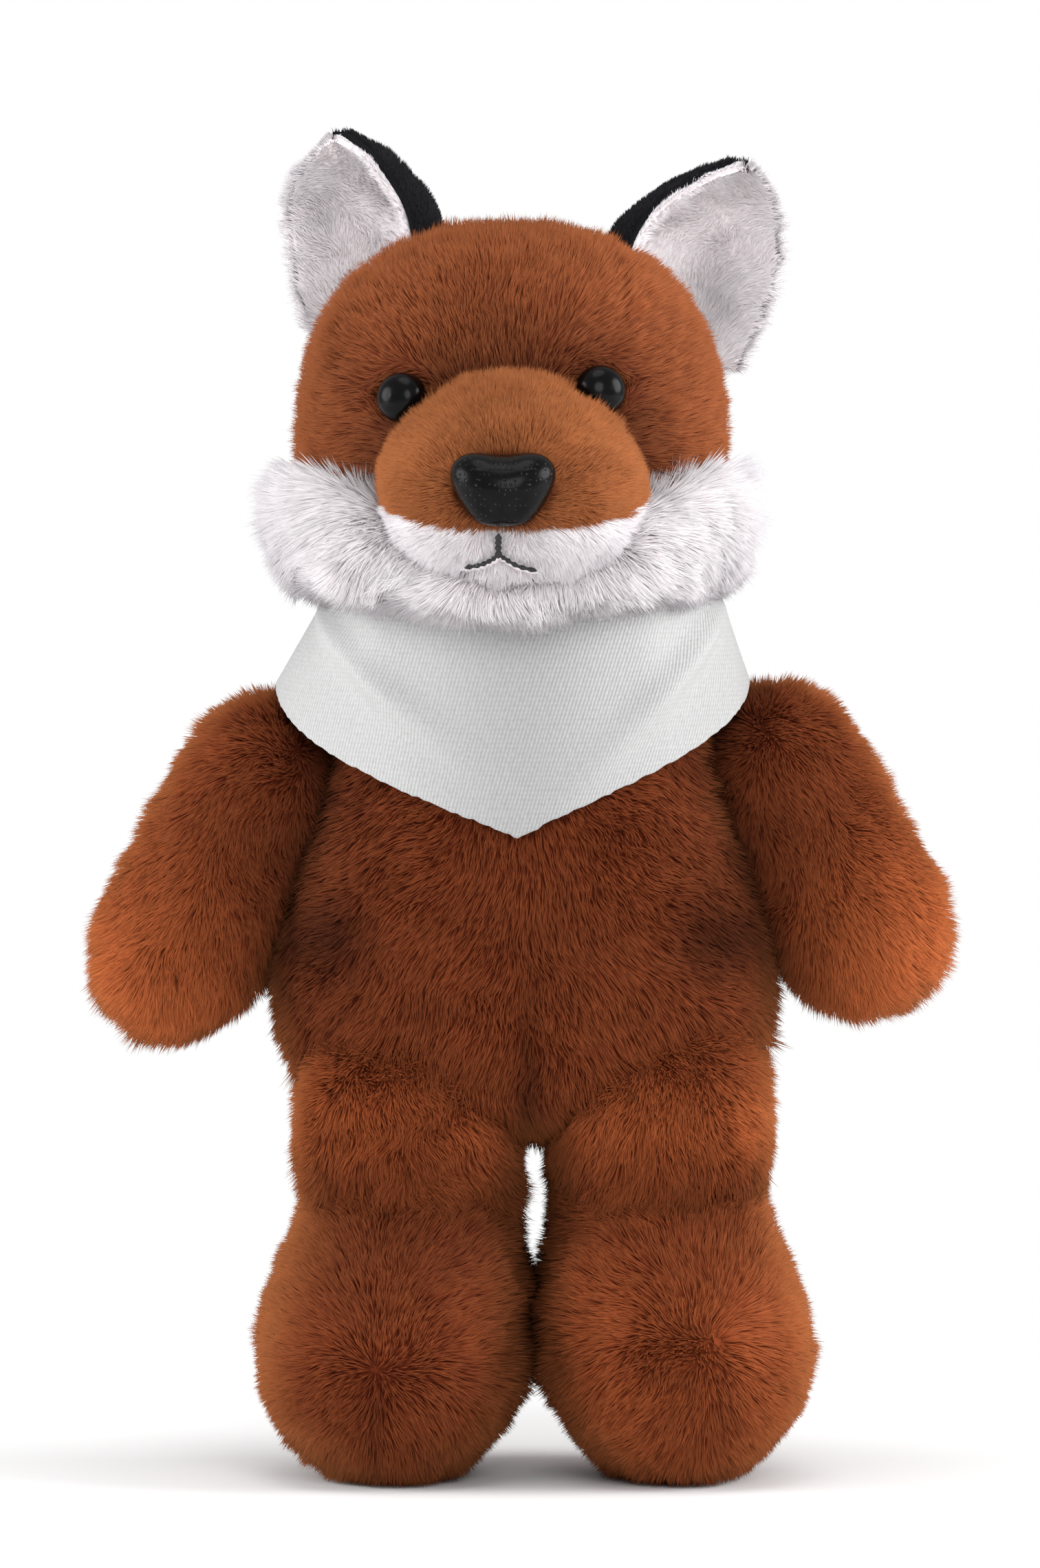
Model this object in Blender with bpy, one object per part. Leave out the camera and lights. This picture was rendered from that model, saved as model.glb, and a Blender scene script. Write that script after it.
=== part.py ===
import math

import bmesh
import bpy
from mathutils import Matrix, Vector
from mathutils.bvhtree import BVHTree

MM = 0.001

# Clearances and walls shared by all pieces
SEAM_GAP = 0.3 * MM
JOINT_GAP = 0.8 * MM
SKIN_WALL = 3.0 * MM
OVERRUN = 60.0 * MM
MERGE_LENGTH = 0.005 * MM
SHARP_ANGLE = math.radians(38)

# Where the toy stands: the middle of its box lies over the origin
TORSO_MID_X = 0.7 * MM
TORSO_MID_Y = -18.5 * MM

# Levels that stack up from the floor
ANKLE_LEVEL = 61.5 * MM
SHIN_HEIGHT = 18.5 * MM
HIP_LEVEL = ANKLE_LEVEL + SHIN_HEIGHT
TORSO_DROP = 6.0 * MM
TORSO_BOTTOM = HIP_LEVEL - TORSO_DROP
TORSO_HEIGHT = 125.6 * MM
NECK_LEVEL = TORSO_BOTTOM + TORSO_HEIGHT
HEAD_SINK = 9.6 * MM
HEAD_BOTTOM = NECK_LEVEL - HEAD_SINK

# Torso, from its seat to the neck seam
TORSO_WIDTH = 117.0 * MM
TORSO_DEPTH = 80.0 * MM
TORSO_SEGMENTS = 20
NECK_WIDTH_SHARE = 0.735
NECK_DEPTH_SHARE = 0.950
TORSO_SHARES = (
    (0.000, 0.000, 0.000),
    (0.024, 0.480, 0.480),
    (0.080, 0.800, 0.760),
    (0.150, 0.930, 0.820),
    (0.250, 0.985, 0.860),
    (0.340, 1.000, 0.900),
    (0.430, 0.970, 0.950),
    (0.540, 0.890, 0.980),
    (0.660, 0.810, 0.990),
    (0.780, 0.770, 0.970),
    (0.890, NECK_WIDTH_SHARE, NECK_DEPTH_SHARE),
    (0.940, 0.660, 0.850),
    (0.995, 0.500, 0.650),
    (1.000, 0.000, 0.000),
)
NECK_MOUTH_RADIUS = 14.0 * MM
MOUTH_DEPTH = 6.0 * MM

# Head, turning on the neck seam about an upright axis
HEAD_MID_X = -2.0 * MM
HEAD_SHIFT_Y = -3.0 * MM
HEAD_HEIGHT = 93.5 * MM
HEAD_WIDTH = 98.4 * MM
HEAD_DEPTH = 90.0 * MM
HEAD_SEGMENTS = 22
HEAD_SHARES = (
    (0.000, 0.000, 0.000),
    (0.020, 0.420, 0.420),
    (0.085, 0.680, 0.680),
    (0.170, 0.850, 0.850),
    (0.280, 0.960, 0.960),
    (0.410, 1.000, 1.000),
    (0.540, 1.000, 1.000),
    (0.660, 0.965, 0.965),
    (0.770, 0.880, 0.890),
    (0.870, 0.730, 0.750),
    (0.940, 0.540, 0.560),
    (0.985, 0.300, 0.320),
    (1.000, 0.000, 0.000),
)
NECK_SEAM_GAP = 0.4 * MM
NECK_RECESS_RADIUS = 47.0 * MM
ROUND_SEGMENTS = 30

# Cheek ruff, a crescent sewn round the lower head
RUFF_MID_X = -2.0 * MM
RUFF_PATH_HALF_WIDTH = 45.0 * MM
RUFF_PATH_HALF_DEPTH = 50.0 * MM
RUFF_THICK = 22.0 * MM
RUFF_SIDE_HEIGHT = 36.0 * MM
RUFF_SIDE_RISE = 23.0 * MM
RUFF_CHIN_HEIGHT = 20.0 * MM
RUFF_CHIN_RISE = 10.2 * MM
RUFF_REACH_ANGLE = math.radians(112)
RUFF_STEPS = 20
RUFF_SEGMENTS = 12
RUFF_END_SHARES = (0.0, 0.55, 0.85)

# Muzzle, swelling forward from the face
MUZZLE_MID_X = -1.6 * MM
MUZZLE_RISE = 36.0 * MM
MUZZLE_LEVEL = HEAD_BOTTOM + MUZZLE_RISE
MUZZLE_WIDTH = 60.4 * MM
MUZZLE_HEIGHT = 50.4 * MM
MUZZLE_LENGTH = 48.0 * MM
MUZZLE_BACK_Y = -30.0 * MM
MUZZLE_DROOP = 5.0 * MM
MUZZLE_SEGMENTS = 20
MUZZLE_SHARES = (
    (0.00, 0.00, 0.00),
    (0.02, 0.90, 0.92),
    (0.25, 1.00, 1.00),
    (0.48, 0.99, 0.96),
    (0.68, 0.89, 0.83),
    (0.85, 0.66, 0.62),
    (0.96, 0.34, 0.32),
    (1.00, 0.00, 0.00),
)
MUZZLE_SEAM_DROP = 11.4 * MM
MUZZLE_SEAM_ANGLE = math.radians(11)

# Moulded nose and its washer
NOSE_MID_X = -3.7 * MM
NOSE_DROP = 10.8 * MM
NOSE_BOTTOM = MUZZLE_LEVEL - NOSE_DROP
NOSE_HEIGHT = 16.8 * MM
NOSE_WIDTH = 23.0 * MM
NOSE_DEPTH = 15.0 * MM
NOSE_SEAT = 1.0 * MM
NOSE_SEGMENTS = 20
NOSE_SHARES = (
    (0.00, 0.00, 0.00),
    (0.04, 0.40, 0.50),
    (0.14, 0.60, 0.75),
    (0.30, 0.78, 0.93),
    (0.50, 0.93, 1.00),
    (0.70, 1.00, 0.96),
    (0.87, 0.90, 0.76),
    (0.97, 0.62, 0.42),
    (1.00, 0.00, 0.00),
)

# Safety eyes: a dome, a stem through the skin and a washer behind it; each place is across and above the neck end
EYE_PLACES = {"right": (-27.0 * MM, 54.0 * MM), "left": (18.6 * MM, 55.6 * MM)}
EYE_RADIUS = 5.6 * MM
EYE_RISE = 4.6 * MM
STEM_RADIUS = 1.6 * MM
STEM_LENGTH = 11.5 * MM
WASHER_RADIUS = 6.0 * MM
WASHER_THICK = 1.2 * MM
EYE_WASHER_SAG = 1.5 * MM
NOSE_WASHER_SAG = 2.4 * MM
EYE_SEGMENTS = 14
DOME_SHARES = ((1.00, 0.00), (0.97, 0.32), (0.82, 0.66), (0.52, 0.90), (0.00, 1.00))

# Mouth stitching on the white panel; each place is across and below the middle of the muzzle
STITCH_RADIUS = 0.45 * MM
STITCH_SIDES = 6
STITCH_TOP_DROP = 13.1 * MM
STITCH_FORK = (-4.7 * MM, 17.0 * MM)
STITCH_ENDS = {"right": (-11.8 * MM, 19.8 * MM), "left": (3.3 * MM, 20.3 * MM)}
STITCH_STEPS = 5

# Ears: each row is a height above the head's lower end, the radius of the cup and its middle, from the base up
EAR_BACK_THICK = 1.5 * MM
EAR_LINING_THICK = 1.4 * MM
EAR_LINING_GAP = 0.8 * MM
EAR_SHIFT_Y = 4.0 * MM
EAR_DEPTH_SHARE = 0.6
EAR_HALF_ANGLE = math.radians(75)
EAR_LINING_HALF_ANGLE = math.radians(71)
EAR_COLUMNS = 9
EAR_LINING_LEAST_RADIUS = 7.0 * MM
EAR_TURN_ANGLES = {"right": math.radians(58), "left": math.radians(52)}
EAR_ROWS = {
    "right": (
        (68.0 * MM, 28.0 * MM, -44.0 * MM),
        (80.0 * MM, 29.2 * MM, -45.3 * MM),
        (91.0 * MM, 29.2 * MM, -45.7 * MM),
        (98.0 * MM, 26.6 * MM, -45.6 * MM),
        (104.0 * MM, 21.0 * MM, -44.8 * MM),
        (109.5 * MM, 14.0 * MM, -43.6 * MM),
        (114.0 * MM, 5.2 * MM, -42.4 * MM),
    ),
    "left": (
        (60.0 * MM, 26.0 * MM, 43.0 * MM),
        (72.0 * MM, 29.0 * MM, 45.6 * MM),
        (84.0 * MM, 30.2 * MM, 47.8 * MM),
        (92.0 * MM, 28.0 * MM, 48.6 * MM),
        (98.0 * MM, 22.8 * MM, 49.6 * MM),
        (103.5 * MM, 15.2 * MM, 50.6 * MM),
        (107.5 * MM, 5.6 * MM, 51.3 * MM),
    ),
}

# Arms, each hanging from a shoulder ball; each shoulder is across and above the torso's lower end
SIDES = {"right": -1.0, "left": 1.0}
SHOULDER_PLACES = {"right": (-57.0 * MM, 83.0 * MM), "left": (58.3 * MM, 85.5 * MM)}
SHOULDER_RADIUS = 20.0 * MM
ARM_LEAN_ANGLE = math.radians(27.5)
ARM_LENGTHS = {"right": 65.0 * MM, "left": 61.5 * MM}
ARM_WIDTH = 42.0 * MM
ARM_DEPTH = 39.0 * MM
ARM_SEGMENTS = 14
BALL_ANGLES = (math.radians(62), math.radians(32))
ARM_SHARES = (
    (0.00, 0.952, 1.026),
    (0.18, 0.965, 1.000),
    (0.36, 0.985, 0.990),
    (0.54, 1.000, 1.000),
    (0.70, 0.960, 0.970),
    (0.83, 0.810, 0.820),
    (0.94, 0.520, 0.530),
    (1.00, 0.000, 0.000),
)
ARM_MOUTH_RADIUS = 7.0 * MM

# Legs, each with a turned hip that swings about a level axis
LEGS_MID_X = 3.2 * MM
HIP_SPREAD = 28.4 * MM
HIP_SHIFT_Y = -3.0 * MM
HIP_RADIUS = 30.0 * MM
HIP_WIDTH = 51.6 * MM
HIP_POWER = 2.6
HIP_SEGMENTS = 16
HIP_STEP_SHARES = (0.0, 0.50, 0.80, 0.96)
SWING_FORWARD_ANGLE = math.radians(75)
SWING_BACK_ANGLE = math.radians(15)
ANKLE_SPREAD = 27.7 * MM
ANKLE_OVERLAP = 6.0 * MM
LEG_TOP_WIDTH = 51.0 * MM
LEG_TOP_DEPTH = 54.0 * MM
ANKLE_WIDTH = 47.6 * MM
ANKLE_DEPTH = 50.0 * MM
LEG_SEGMENTS = 16

# Feet, flat where they stand
FOOT_SPREAD = 32.4 * MM
FOOT_WIDTH = 60.8 * MM
FOOT_LENGTH = 80.0 * MM
FOOT_SHIFT_Y = -13.0 * MM
FOOT_SINK = 0.5 * MM
FOOT_SEGMENTS = 16
FOOT_SHARES = (
    (0.000, 0.000, 0.000, 1.00),
    (0.008, 0.420, 0.540, 1.00),
    (0.060, 0.600, 0.730, 1.00),
    (0.140, 0.770, 0.870, 1.00),
    (0.240, 0.920, 0.970, 1.00),
    (0.400, 1.000, 1.000, 1.00),
    (0.560, 0.980, 0.950, 0.85),
    (0.720, 0.920, 0.830, 0.50),
    (0.860, 0.830, 0.680, 0.15),
    (1.000, 0.760, 0.600, 0.00),
)
FOOT_TOP_OVERLAP = 6.0 * MM

# Tail, wagging on a ball at its root
TAIL_ROOT_SHIFT_Y = 34.0 * MM
TAIL_ROOT_RISE = 22.0 * MM
TAIL_LIFT_ANGLE = math.radians(18)
TAIL_WAG_ANGLE = math.radians(30)
TAIL_ROOT_RADIUS = 9.0 * MM
TAIL_LENGTH = 91.2 * MM
TAIL_WIDTH = 37.0 * MM
TAIL_SEGMENTS = 12
TAIL_GAP = 0.4 * MM
TAIL_SOCKET_SEGMENTS = 18
TAIL_SWEEP_ROWS = 3
TAIL_SWEEP_STEPS = 4
TAIL_SHARES = (
    (0.00, 0.486),
    (0.13, 0.600),
    (0.30, 0.830),
    (0.50, 1.000),
    (0.68, 0.970),
    (0.83, 0.740),
    (0.94, 0.400),
    (1.00, 0.000),
)
TAIL_TIP_SHARE = 0.66
TAIL_MOUTH_RADIUS = 4.0 * MM

# Bandana: a triangle of twill round the neck, tied at the nape
CLOTH_THICK = 1.0 * MM
CLOTH_GAP = 0.5 * MM
CLOTH_TOP_DROP = 1.6 * MM
CLOTH_FOLD_DROP = 11.6 * MM
CLOTH_TIP_DROP = 55.8 * MM
CLOTH_TIP_LIFT = 3.0 * MM
CLOTH_CORNER_DROP = 20.0 * MM
CLOTH_CORNER_INSET = 4.5 * MM
CLOTH_BACK_DROP = 15.6 * MM
CLOTH_NAPE_ANGLE = math.radians(5)
CLOTH_FRONT_ANGLE = math.radians(88)
CLOTH_CORNER_ANGLE = math.radians(81)
CLOTH_COLUMNS = 34
CLOTH_ROWS = 5
CLOTH_FOLD_SHARE = 0.25
CLOTH_EASE_SHARE = 0.5
CLOTH_SPREAD_POWER = 1.15
CLOTH_FALL_POWER = 1.1
KNOT_WIDTH = 15.0 * MM
KNOT_DEPTH = 9.0 * MM
KNOT_HEIGHT = 12.0 * MM
KNOT_DROP = 9.6 * MM
KNOT_SEAT = 0.1 * MM
KNOT_SEGMENTS = 12
BALL_SHARES = ((0.0, 0.0), (0.07, 0.5), (0.25, 0.87), (0.5, 1.0), (0.75, 0.87), (0.93, 0.5), (1.0, 0.0))

AXIS_X = Vector((1.0, 0.0, 0.0))
AXIS_Y = Vector((0.0, 1.0, 0.0))
AXIS_Z = Vector((0.0, 0.0, 1.0))


# Mesh helpers

def clear_scene():
    for item in list(bpy.data.objects):
        bpy.data.objects.remove(item, do_unlink=True)


def mesh_solid(name, points, faces, grow=0.0):
    """Link a closed mesh with outward faces, moved outward along its normals by grow."""
    shape = bmesh.new()
    corners = [shape.verts.new(point) for point in points]
    for face in faces:
        shape.faces.new([corners[index] for index in face])
    bmesh.ops.recalc_face_normals(shape, faces=shape.faces)
    shape.normal_update()
    moves = [corner.normal * grow for corner in shape.verts]
    for corner, move in zip(shape.verts, moves):
        corner.co += move
    bmesh.ops.triangulate(shape, faces=shape.faces, quad_method="FIXED")
    mesh = bpy.data.meshes.new(name)
    shape.to_mesh(mesh)
    shape.free()
    solid = bpy.data.objects.new(name, mesh)
    bpy.context.scene.collection.objects.link(solid)
    return solid


def loft(name, sections, segments, grow=0.0):
    """Close a row of oval rings; each section is its middle and its two half axes.

    A section whose half axes are zero is a single point, which closes an end.
    """
    points = []
    rings = []
    for middle, side, depth in sections:
        if side.length == 0.0:
            rings.append([len(points)])
            points.append(middle)
            continue
        rings.append(list(range(len(points), len(points) + segments)))
        for step in range(segments):
            turn = math.tau * step / segments
            points.append(middle + side * math.cos(turn) + depth * math.sin(turn))
    faces = []
    for lower, upper in zip(rings, rings[1:]):
        for step in range(segments):
            following = (step + 1) % segments
            if len(lower) == 1:
                faces.append((lower[0], upper[step], upper[following]))
            elif len(upper) == 1:
                faces.append((lower[step], lower[following], upper[0]))
            else:
                faces.append((lower[step], lower[following], upper[following], upper[step]))
    for ring in (rings[0], rings[-1]):
        if len(ring) > 1:
            faces.append(tuple(ring))
    return mesh_solid(name, points, faces, grow)


def hull(name, points):
    """Close the smallest bulging solid that holds all the points."""
    shape = bmesh.new()
    for point in points:
        shape.verts.new(point)
    made = bmesh.ops.convex_hull(shape, input=shape.verts)
    spare = {item for item in made["geom_interior"] + made["geom_unused"] if isinstance(item, bmesh.types.BMVert)}
    bmesh.ops.delete(shape, geom=list(spare), context="VERTS")
    shape.verts.index_update()
    corners = [corner.co.copy() for corner in shape.verts]
    faces = [[corner.index for corner in face.verts] for face in shape.faces]
    shape.free()
    return mesh_solid(name, corners, faces)


def thick_sheet(name, grid, thick):
    """Close a grid of rows of points into a plate that lies on one side of it."""
    rows = len(grid)
    columns = len(grid[0])
    surface = bmesh.new()
    corners = [[surface.verts.new(point) for point in row] for row in grid]
    for row in range(rows - 1):
        for column in range(columns - 1):
            surface.faces.new((
                corners[row][column],
                corners[row][column + 1],
                corners[row + 1][column + 1],
                corners[row + 1][column],
            ))
    surface.normal_update()
    front = [corner.co.copy() for line in corners for corner in line]
    back = [corner.co - corner.normal * thick for line in corners for corner in line]
    surface.free()
    count = rows * columns
    faces = []
    for row in range(rows - 1):
        for column in range(columns - 1):
            first = row * columns + column
            quad = (first, first + 1, first + 1 + columns, first + columns)
            faces.append(quad)
            faces.append(tuple(index + count for index in reversed(quad)))
    border = [column for column in range(columns)]
    border += [row * columns + columns - 1 for row in range(1, rows)]
    border += [(rows - 1) * columns + column for column in range(columns - 2, -1, -1)]
    border += [row * columns for row in range(rows - 2, 0, -1)]
    for start, end in zip(border, border[1:] + border[:1]):
        faces.append((start, start + count, end + count, end))
    return mesh_solid(name, front + back, faces)


def half_space(name, middle, normal):
    """A large block that fills the side of a plane towards which the normal points."""
    depth = normal.orthogonal().normalized()
    side = depth.cross(normal).normalized()
    block = OVERRUN + TORSO_WIDTH
    near = [middle + side * block * a + depth * block * b for a, b in ((1, 1), (-1, 1), (-1, -1), (1, -1))]
    far = [point + normal * block for point in near]
    faces = ((0, 1, 2, 3), (4, 7, 6, 5), (0, 4, 5, 1), (1, 5, 6, 2), (2, 6, 7, 3), (3, 7, 4, 0))
    return mesh_solid(name, near + far, faces)


def turned(name, profile, origin, direction, segments):
    """Turn a profile of radius and height pairs about a line through the origin."""
    side = direction.orthogonal().normalized()
    depth = direction.cross(side).normalized()
    sections = [(origin + direction * along, side * radius, depth * radius) for radius, along in profile]
    return loft(name, sections, segments)


def turned_ring(name, inner, outer, low, high, origin, direction, segments):
    disc = turned(name, ((outer, low), (outer, high)), origin, direction, segments)
    hole = turned("hole", ((inner, low - OVERRUN), (inner, high + OVERRUN)), origin, direction, segments)
    return combine(disc, [hole])


def combine(target, others, operation="DIFFERENCE"):
    """Apply each other solid to the target in turn, then remove it."""
    for other in others:
        other.hide_render = True
        other.display_type = "WIRE"
        cut = target.modifiers.new("Cut", "BOOLEAN")
        cut.object = other
        cut.operation = operation
        cut.solver = "EXACT"
        graph = bpy.context.evaluated_depsgraph_get()
        result = bpy.data.meshes.new_from_object(target.evaluated_get(graph))
        target.modifiers.clear()
        target.data = result
        bpy.data.objects.remove(other, do_unlink=True)
        tidy(target)
    return target


def tidy(solid):
    shape = bmesh.new()
    shape.from_mesh(solid.data)
    bmesh.ops.remove_doubles(shape, verts=shape.verts, dist=MERGE_LENGTH)
    bmesh.ops.dissolve_degenerate(shape, edges=shape.edges, dist=MERGE_LENGTH)
    bmesh.ops.triangulate(shape, faces=[face for face in shape.faces if len(face.verts) > 4])
    shape.to_mesh(solid.data)
    shape.free()


def front_hit(solid, x, z):
    """The point and outward normal where a line from the front meets the solid."""
    shape = bmesh.new()
    shape.from_mesh(solid.data)
    tree = BVHTree.FromBMesh(shape)
    start = Vector((x, -TORSO_WIDTH - TORSO_DEPTH, z))
    place, normal = tree.ray_cast(start, AXIS_Y)[:2]
    shape.free()
    return place, normal


def remove(solid):
    bpy.data.objects.remove(solid, do_unlink=True)


# Materials

def material(name, colour, roughness):
    made = bpy.data.materials.new(name)
    made.use_nodes = True
    shader = made.node_tree.nodes["Principled BSDF"]
    shader.inputs["Base Color"].default_value = (*colour, 1.0)
    shader.inputs["Roughness"].default_value = roughness
    shader.inputs["Metallic"].default_value = 0.0
    made.diffuse_color = (*colour, 1.0)
    return made


def finish(solid, name, colour, roughness, pivot=None):
    """Name a finished piece, give it its material and hang it on its joint."""
    solid.name = name
    solid.data.name = name
    solid.data.materials.clear()
    solid.data.materials.append(material(name + "_material", colour, roughness))
    solid.data.shade_smooth()
    solid.data.set_sharp_from_angle(angle=SHARP_ANGLE)
    if pivot is not None:
        solid.parent = pivot
        solid.matrix_parent_inverse = Matrix.Translation(-pivot.location)
    return solid


def pivot_at(name, place):
    empty = bpy.data.objects.new(name, None)
    empty.location = place
    bpy.context.scene.collection.objects.link(empty)
    return empty


def russet(solid, name, pivot=None):
    return finish(solid, name, (0.17, 0.038, 0.013), 0.9, pivot)


def light_russet(solid, name, pivot=None):
    return finish(solid, name, (0.34, 0.105, 0.038), 0.9, pivot)


def white_pile(solid, name, pivot=None):
    return finish(solid, name, (0.78, 0.72, 0.73), 0.9, pivot)


def black_pile(solid, name, pivot=None):
    return finish(solid, name, (0.025, 0.024, 0.028), 0.85, pivot)


def fibre(solid, name, pivot=None):
    return finish(solid, name, (0.82, 0.82, 0.80), 0.95, pivot)


def black_plastic(solid, name, pivot=None):
    return finish(solid, name, (0.012, 0.012, 0.013), 0.12, pivot)


def washer_plastic(solid, name, pivot=None):
    return finish(solid, name, (0.70, 0.70, 0.68), 0.45, pivot)


def black_thread(solid, name, pivot=None):
    return finish(solid, name, (0.015, 0.015, 0.015), 0.8, pivot)


def twill(solid, name, pivot=None):
    return finish(solid, name, (0.70, 0.71, 0.71), 0.85, pivot)


# Places of the joints

def neck_place():
    return Vector((TORSO_MID_X, TORSO_MID_Y, NECK_LEVEL))


def shoulder_place(side):
    across, rise = SHOULDER_PLACES[side]
    return Vector((across, TORSO_MID_Y, TORSO_BOTTOM + rise))


def hip_place(side):
    return Vector((LEGS_MID_X + SIDES[side] * HIP_SPREAD, TORSO_MID_Y + HIP_SHIFT_Y, HIP_LEVEL))


def tail_place():
    return Vector((TORSO_MID_X, TORSO_MID_Y + TAIL_ROOT_SHIFT_Y, TORSO_BOTTOM + TAIL_ROOT_RISE))


# Raw forms, each moved outward by grow

def torso_form(grow=0.0):
    sections = []
    for height, width, depth in TORSO_SHARES:
        middle = Vector((TORSO_MID_X, TORSO_MID_Y, TORSO_BOTTOM + height * TORSO_HEIGHT))
        sections.append((middle, AXIS_X * (TORSO_WIDTH * width / 2), AXIS_Y * (TORSO_DEPTH * depth / 2)))
    return loft("torso_form", sections, TORSO_SEGMENTS, grow)


def head_form(grow=0.0):
    sections = []
    for height, width, depth in HEAD_SHARES:
        middle = Vector((HEAD_MID_X, TORSO_MID_Y + HEAD_SHIFT_Y, HEAD_BOTTOM + height * HEAD_HEIGHT))
        sections.append((middle, AXIS_X * (HEAD_WIDTH * width / 2), AXIS_Y * (HEAD_DEPTH * depth / 2)))
    return loft("head_form", sections, HEAD_SEGMENTS, grow)


def muzzle_form(grow=0.0):
    sections = []
    for along, width, height in MUZZLE_SHARES:
        middle = Vector((
            MUZZLE_MID_X,
            TORSO_MID_Y + MUZZLE_BACK_Y - along * MUZZLE_LENGTH,
            MUZZLE_LEVEL - along * MUZZLE_DROOP,
        ))
        sections.append((middle, AXIS_X * (MUZZLE_WIDTH * width / 2), AXIS_Z * (MUZZLE_HEIGHT * height / 2)))
    return loft("muzzle_form", sections, MUZZLE_SEGMENTS, grow)


def neck_recess(grow=0.0):
    top = neck_place().z + NECK_SEAM_GAP + grow
    radius = (NECK_RECESS_RADIUS + grow) / math.cos(math.pi / ROUND_SEGMENTS)
    origin = Vector((TORSO_MID_X, TORSO_MID_Y, top))
    return turned("neck_recess", ((radius, -OVERRUN), (radius, 0.0)), origin, AXIS_Z, ROUND_SEGMENTS)


def limb_sections(origin, direction, side, depth, ball_radius, length, shares):
    """Rings of a limb: a half ball behind its joint, then its own ovals out to the tip."""
    nothing = Vector((0.0, 0.0, 0.0))
    sections = [(origin - direction * ball_radius, nothing, nothing)]
    for angle in BALL_ANGLES:
        ring = ball_radius * math.cos(angle)
        middle = origin - direction * ball_radius * math.sin(angle)
        sections.append((middle, side.normalized() * ring, depth.normalized() * ring))
    for along, width, thick in shares:
        sections.append((origin + direction * length * along, side * width, depth * thick))
    return sections


def arm_direction(side):
    return Vector((SIDES[side] * math.sin(ARM_LEAN_ANGLE), 0.0, -math.cos(ARM_LEAN_ANGLE)))


def arm_form(side, grow=0.0):
    direction = arm_direction(side)
    across = direction.cross(AXIS_Y).normalized()
    sections = limb_sections(
        shoulder_place(side),
        direction,
        across * (ARM_WIDTH / 2),
        AXIS_Y * (ARM_DEPTH / 2),
        SHOULDER_RADIUS,
        ARM_LENGTHS[side],
        ARM_SHARES,
    )
    return loft("arm_form", sections, ARM_SEGMENTS, grow)


def ball(name, origin, radius, direction, segments):
    """A faceted ball that holds the true ball of that radius inside it."""
    outer = radius / math.cos(math.pi / segments) / math.cos(math.pi / segments)
    angles = [math.pi * step / segments - math.pi / 2 for step in range(segments + 1)]
    profile = [(outer * math.cos(angle), outer * math.sin(angle)) for angle in angles]
    profile[0] = (0.0, -outer)
    profile[-1] = (0.0, outer)
    return turned(name, profile, origin, direction, segments)


def hip_form(side, grow=0.0, segments=HIP_SEGMENTS):
    middle = hip_place(side)
    half = HIP_WIDTH / 2
    stations = [-share for share in reversed(HIP_STEP_SHARES[1:])] + list(HIP_STEP_SHARES)
    nothing = Vector((0.0, 0.0, 0.0))
    sections = [(middle - AXIS_X * half, nothing, nothing)]
    for share in stations:
        radius = HIP_RADIUS * (1 - abs(share) ** HIP_POWER) ** (1 / HIP_POWER)
        sections.append((middle + AXIS_X * half * share, AXIS_Y * radius, AXIS_Z * radius))
    sections.append((middle + AXIS_X * half, nothing, nothing))
    return loft("hip_form", sections, segments, grow)


def shaft_form(side, grow=0.0):
    hip = hip_place(side)
    ankle_x = LEGS_MID_X + SIDES[side] * ANKLE_SPREAD
    foot_end = ANKLE_LEVEL - ANKLE_OVERLAP
    sections = []
    for level, x, width, depth in (
        (hip.z, hip.x, LEG_TOP_WIDTH, LEG_TOP_DEPTH),
        ((hip.z + ANKLE_LEVEL) / 2, (hip.x + ankle_x) / 2, (LEG_TOP_WIDTH + ANKLE_WIDTH) / 2,
         (LEG_TOP_DEPTH + ANKLE_DEPTH) / 2),
        (ANKLE_LEVEL, ankle_x, ANKLE_WIDTH, ANKLE_DEPTH),
        (foot_end, ankle_x, ANKLE_WIDTH, ANKLE_DEPTH),
    ):
        sections.append((Vector((x, hip.y, level)), AXIS_X * (width / 2), AXIS_Y * (depth / 2)))
    return loft("shaft_form", sections, LEG_SEGMENTS, grow)


def foot_form(side, grow=0.0):
    height = ANKLE_LEVEL + FOOT_TOP_OVERLAP + FOOT_SINK
    foot_x = LEGS_MID_X + SIDES[side] * FOOT_SPREAD
    ankle_x = LEGS_MID_X + SIDES[side] * ANKLE_SPREAD
    ankle_y = hip_place(side).y
    foot_y = TORSO_MID_Y + FOOT_SHIFT_Y
    sections = []
    for rise, width, length, forward in FOOT_SHARES:
        middle = Vector((
            ankle_x + (foot_x - ankle_x) * forward,
            ankle_y + (foot_y - ankle_y) * forward,
            rise * height - FOOT_SINK,
        ))
        sections.append((middle, AXIS_X * (FOOT_WIDTH * width / 2), AXIS_Y * (FOOT_LENGTH * length / 2)))
    return loft("foot_form", sections, FOOT_SEGMENTS, grow)


def tail_direction():
    return Vector((0.0, math.cos(TAIL_LIFT_ANGLE), math.sin(TAIL_LIFT_ANGLE)))


def tail_form(grow=0.0):
    direction = tail_direction()
    sections = limb_sections(
        tail_place(),
        direction,
        AXIS_X * (TAIL_WIDTH / 2),
        direction.cross(AXIS_X) * (TAIL_WIDTH / 2),
        TAIL_ROOT_RADIUS,
        TAIL_LENGTH,
        [(along, width, width) for along, width in TAIL_SHARES],
    )
    return loft("tail_form", sections, TAIL_SEGMENTS, grow)


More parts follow.
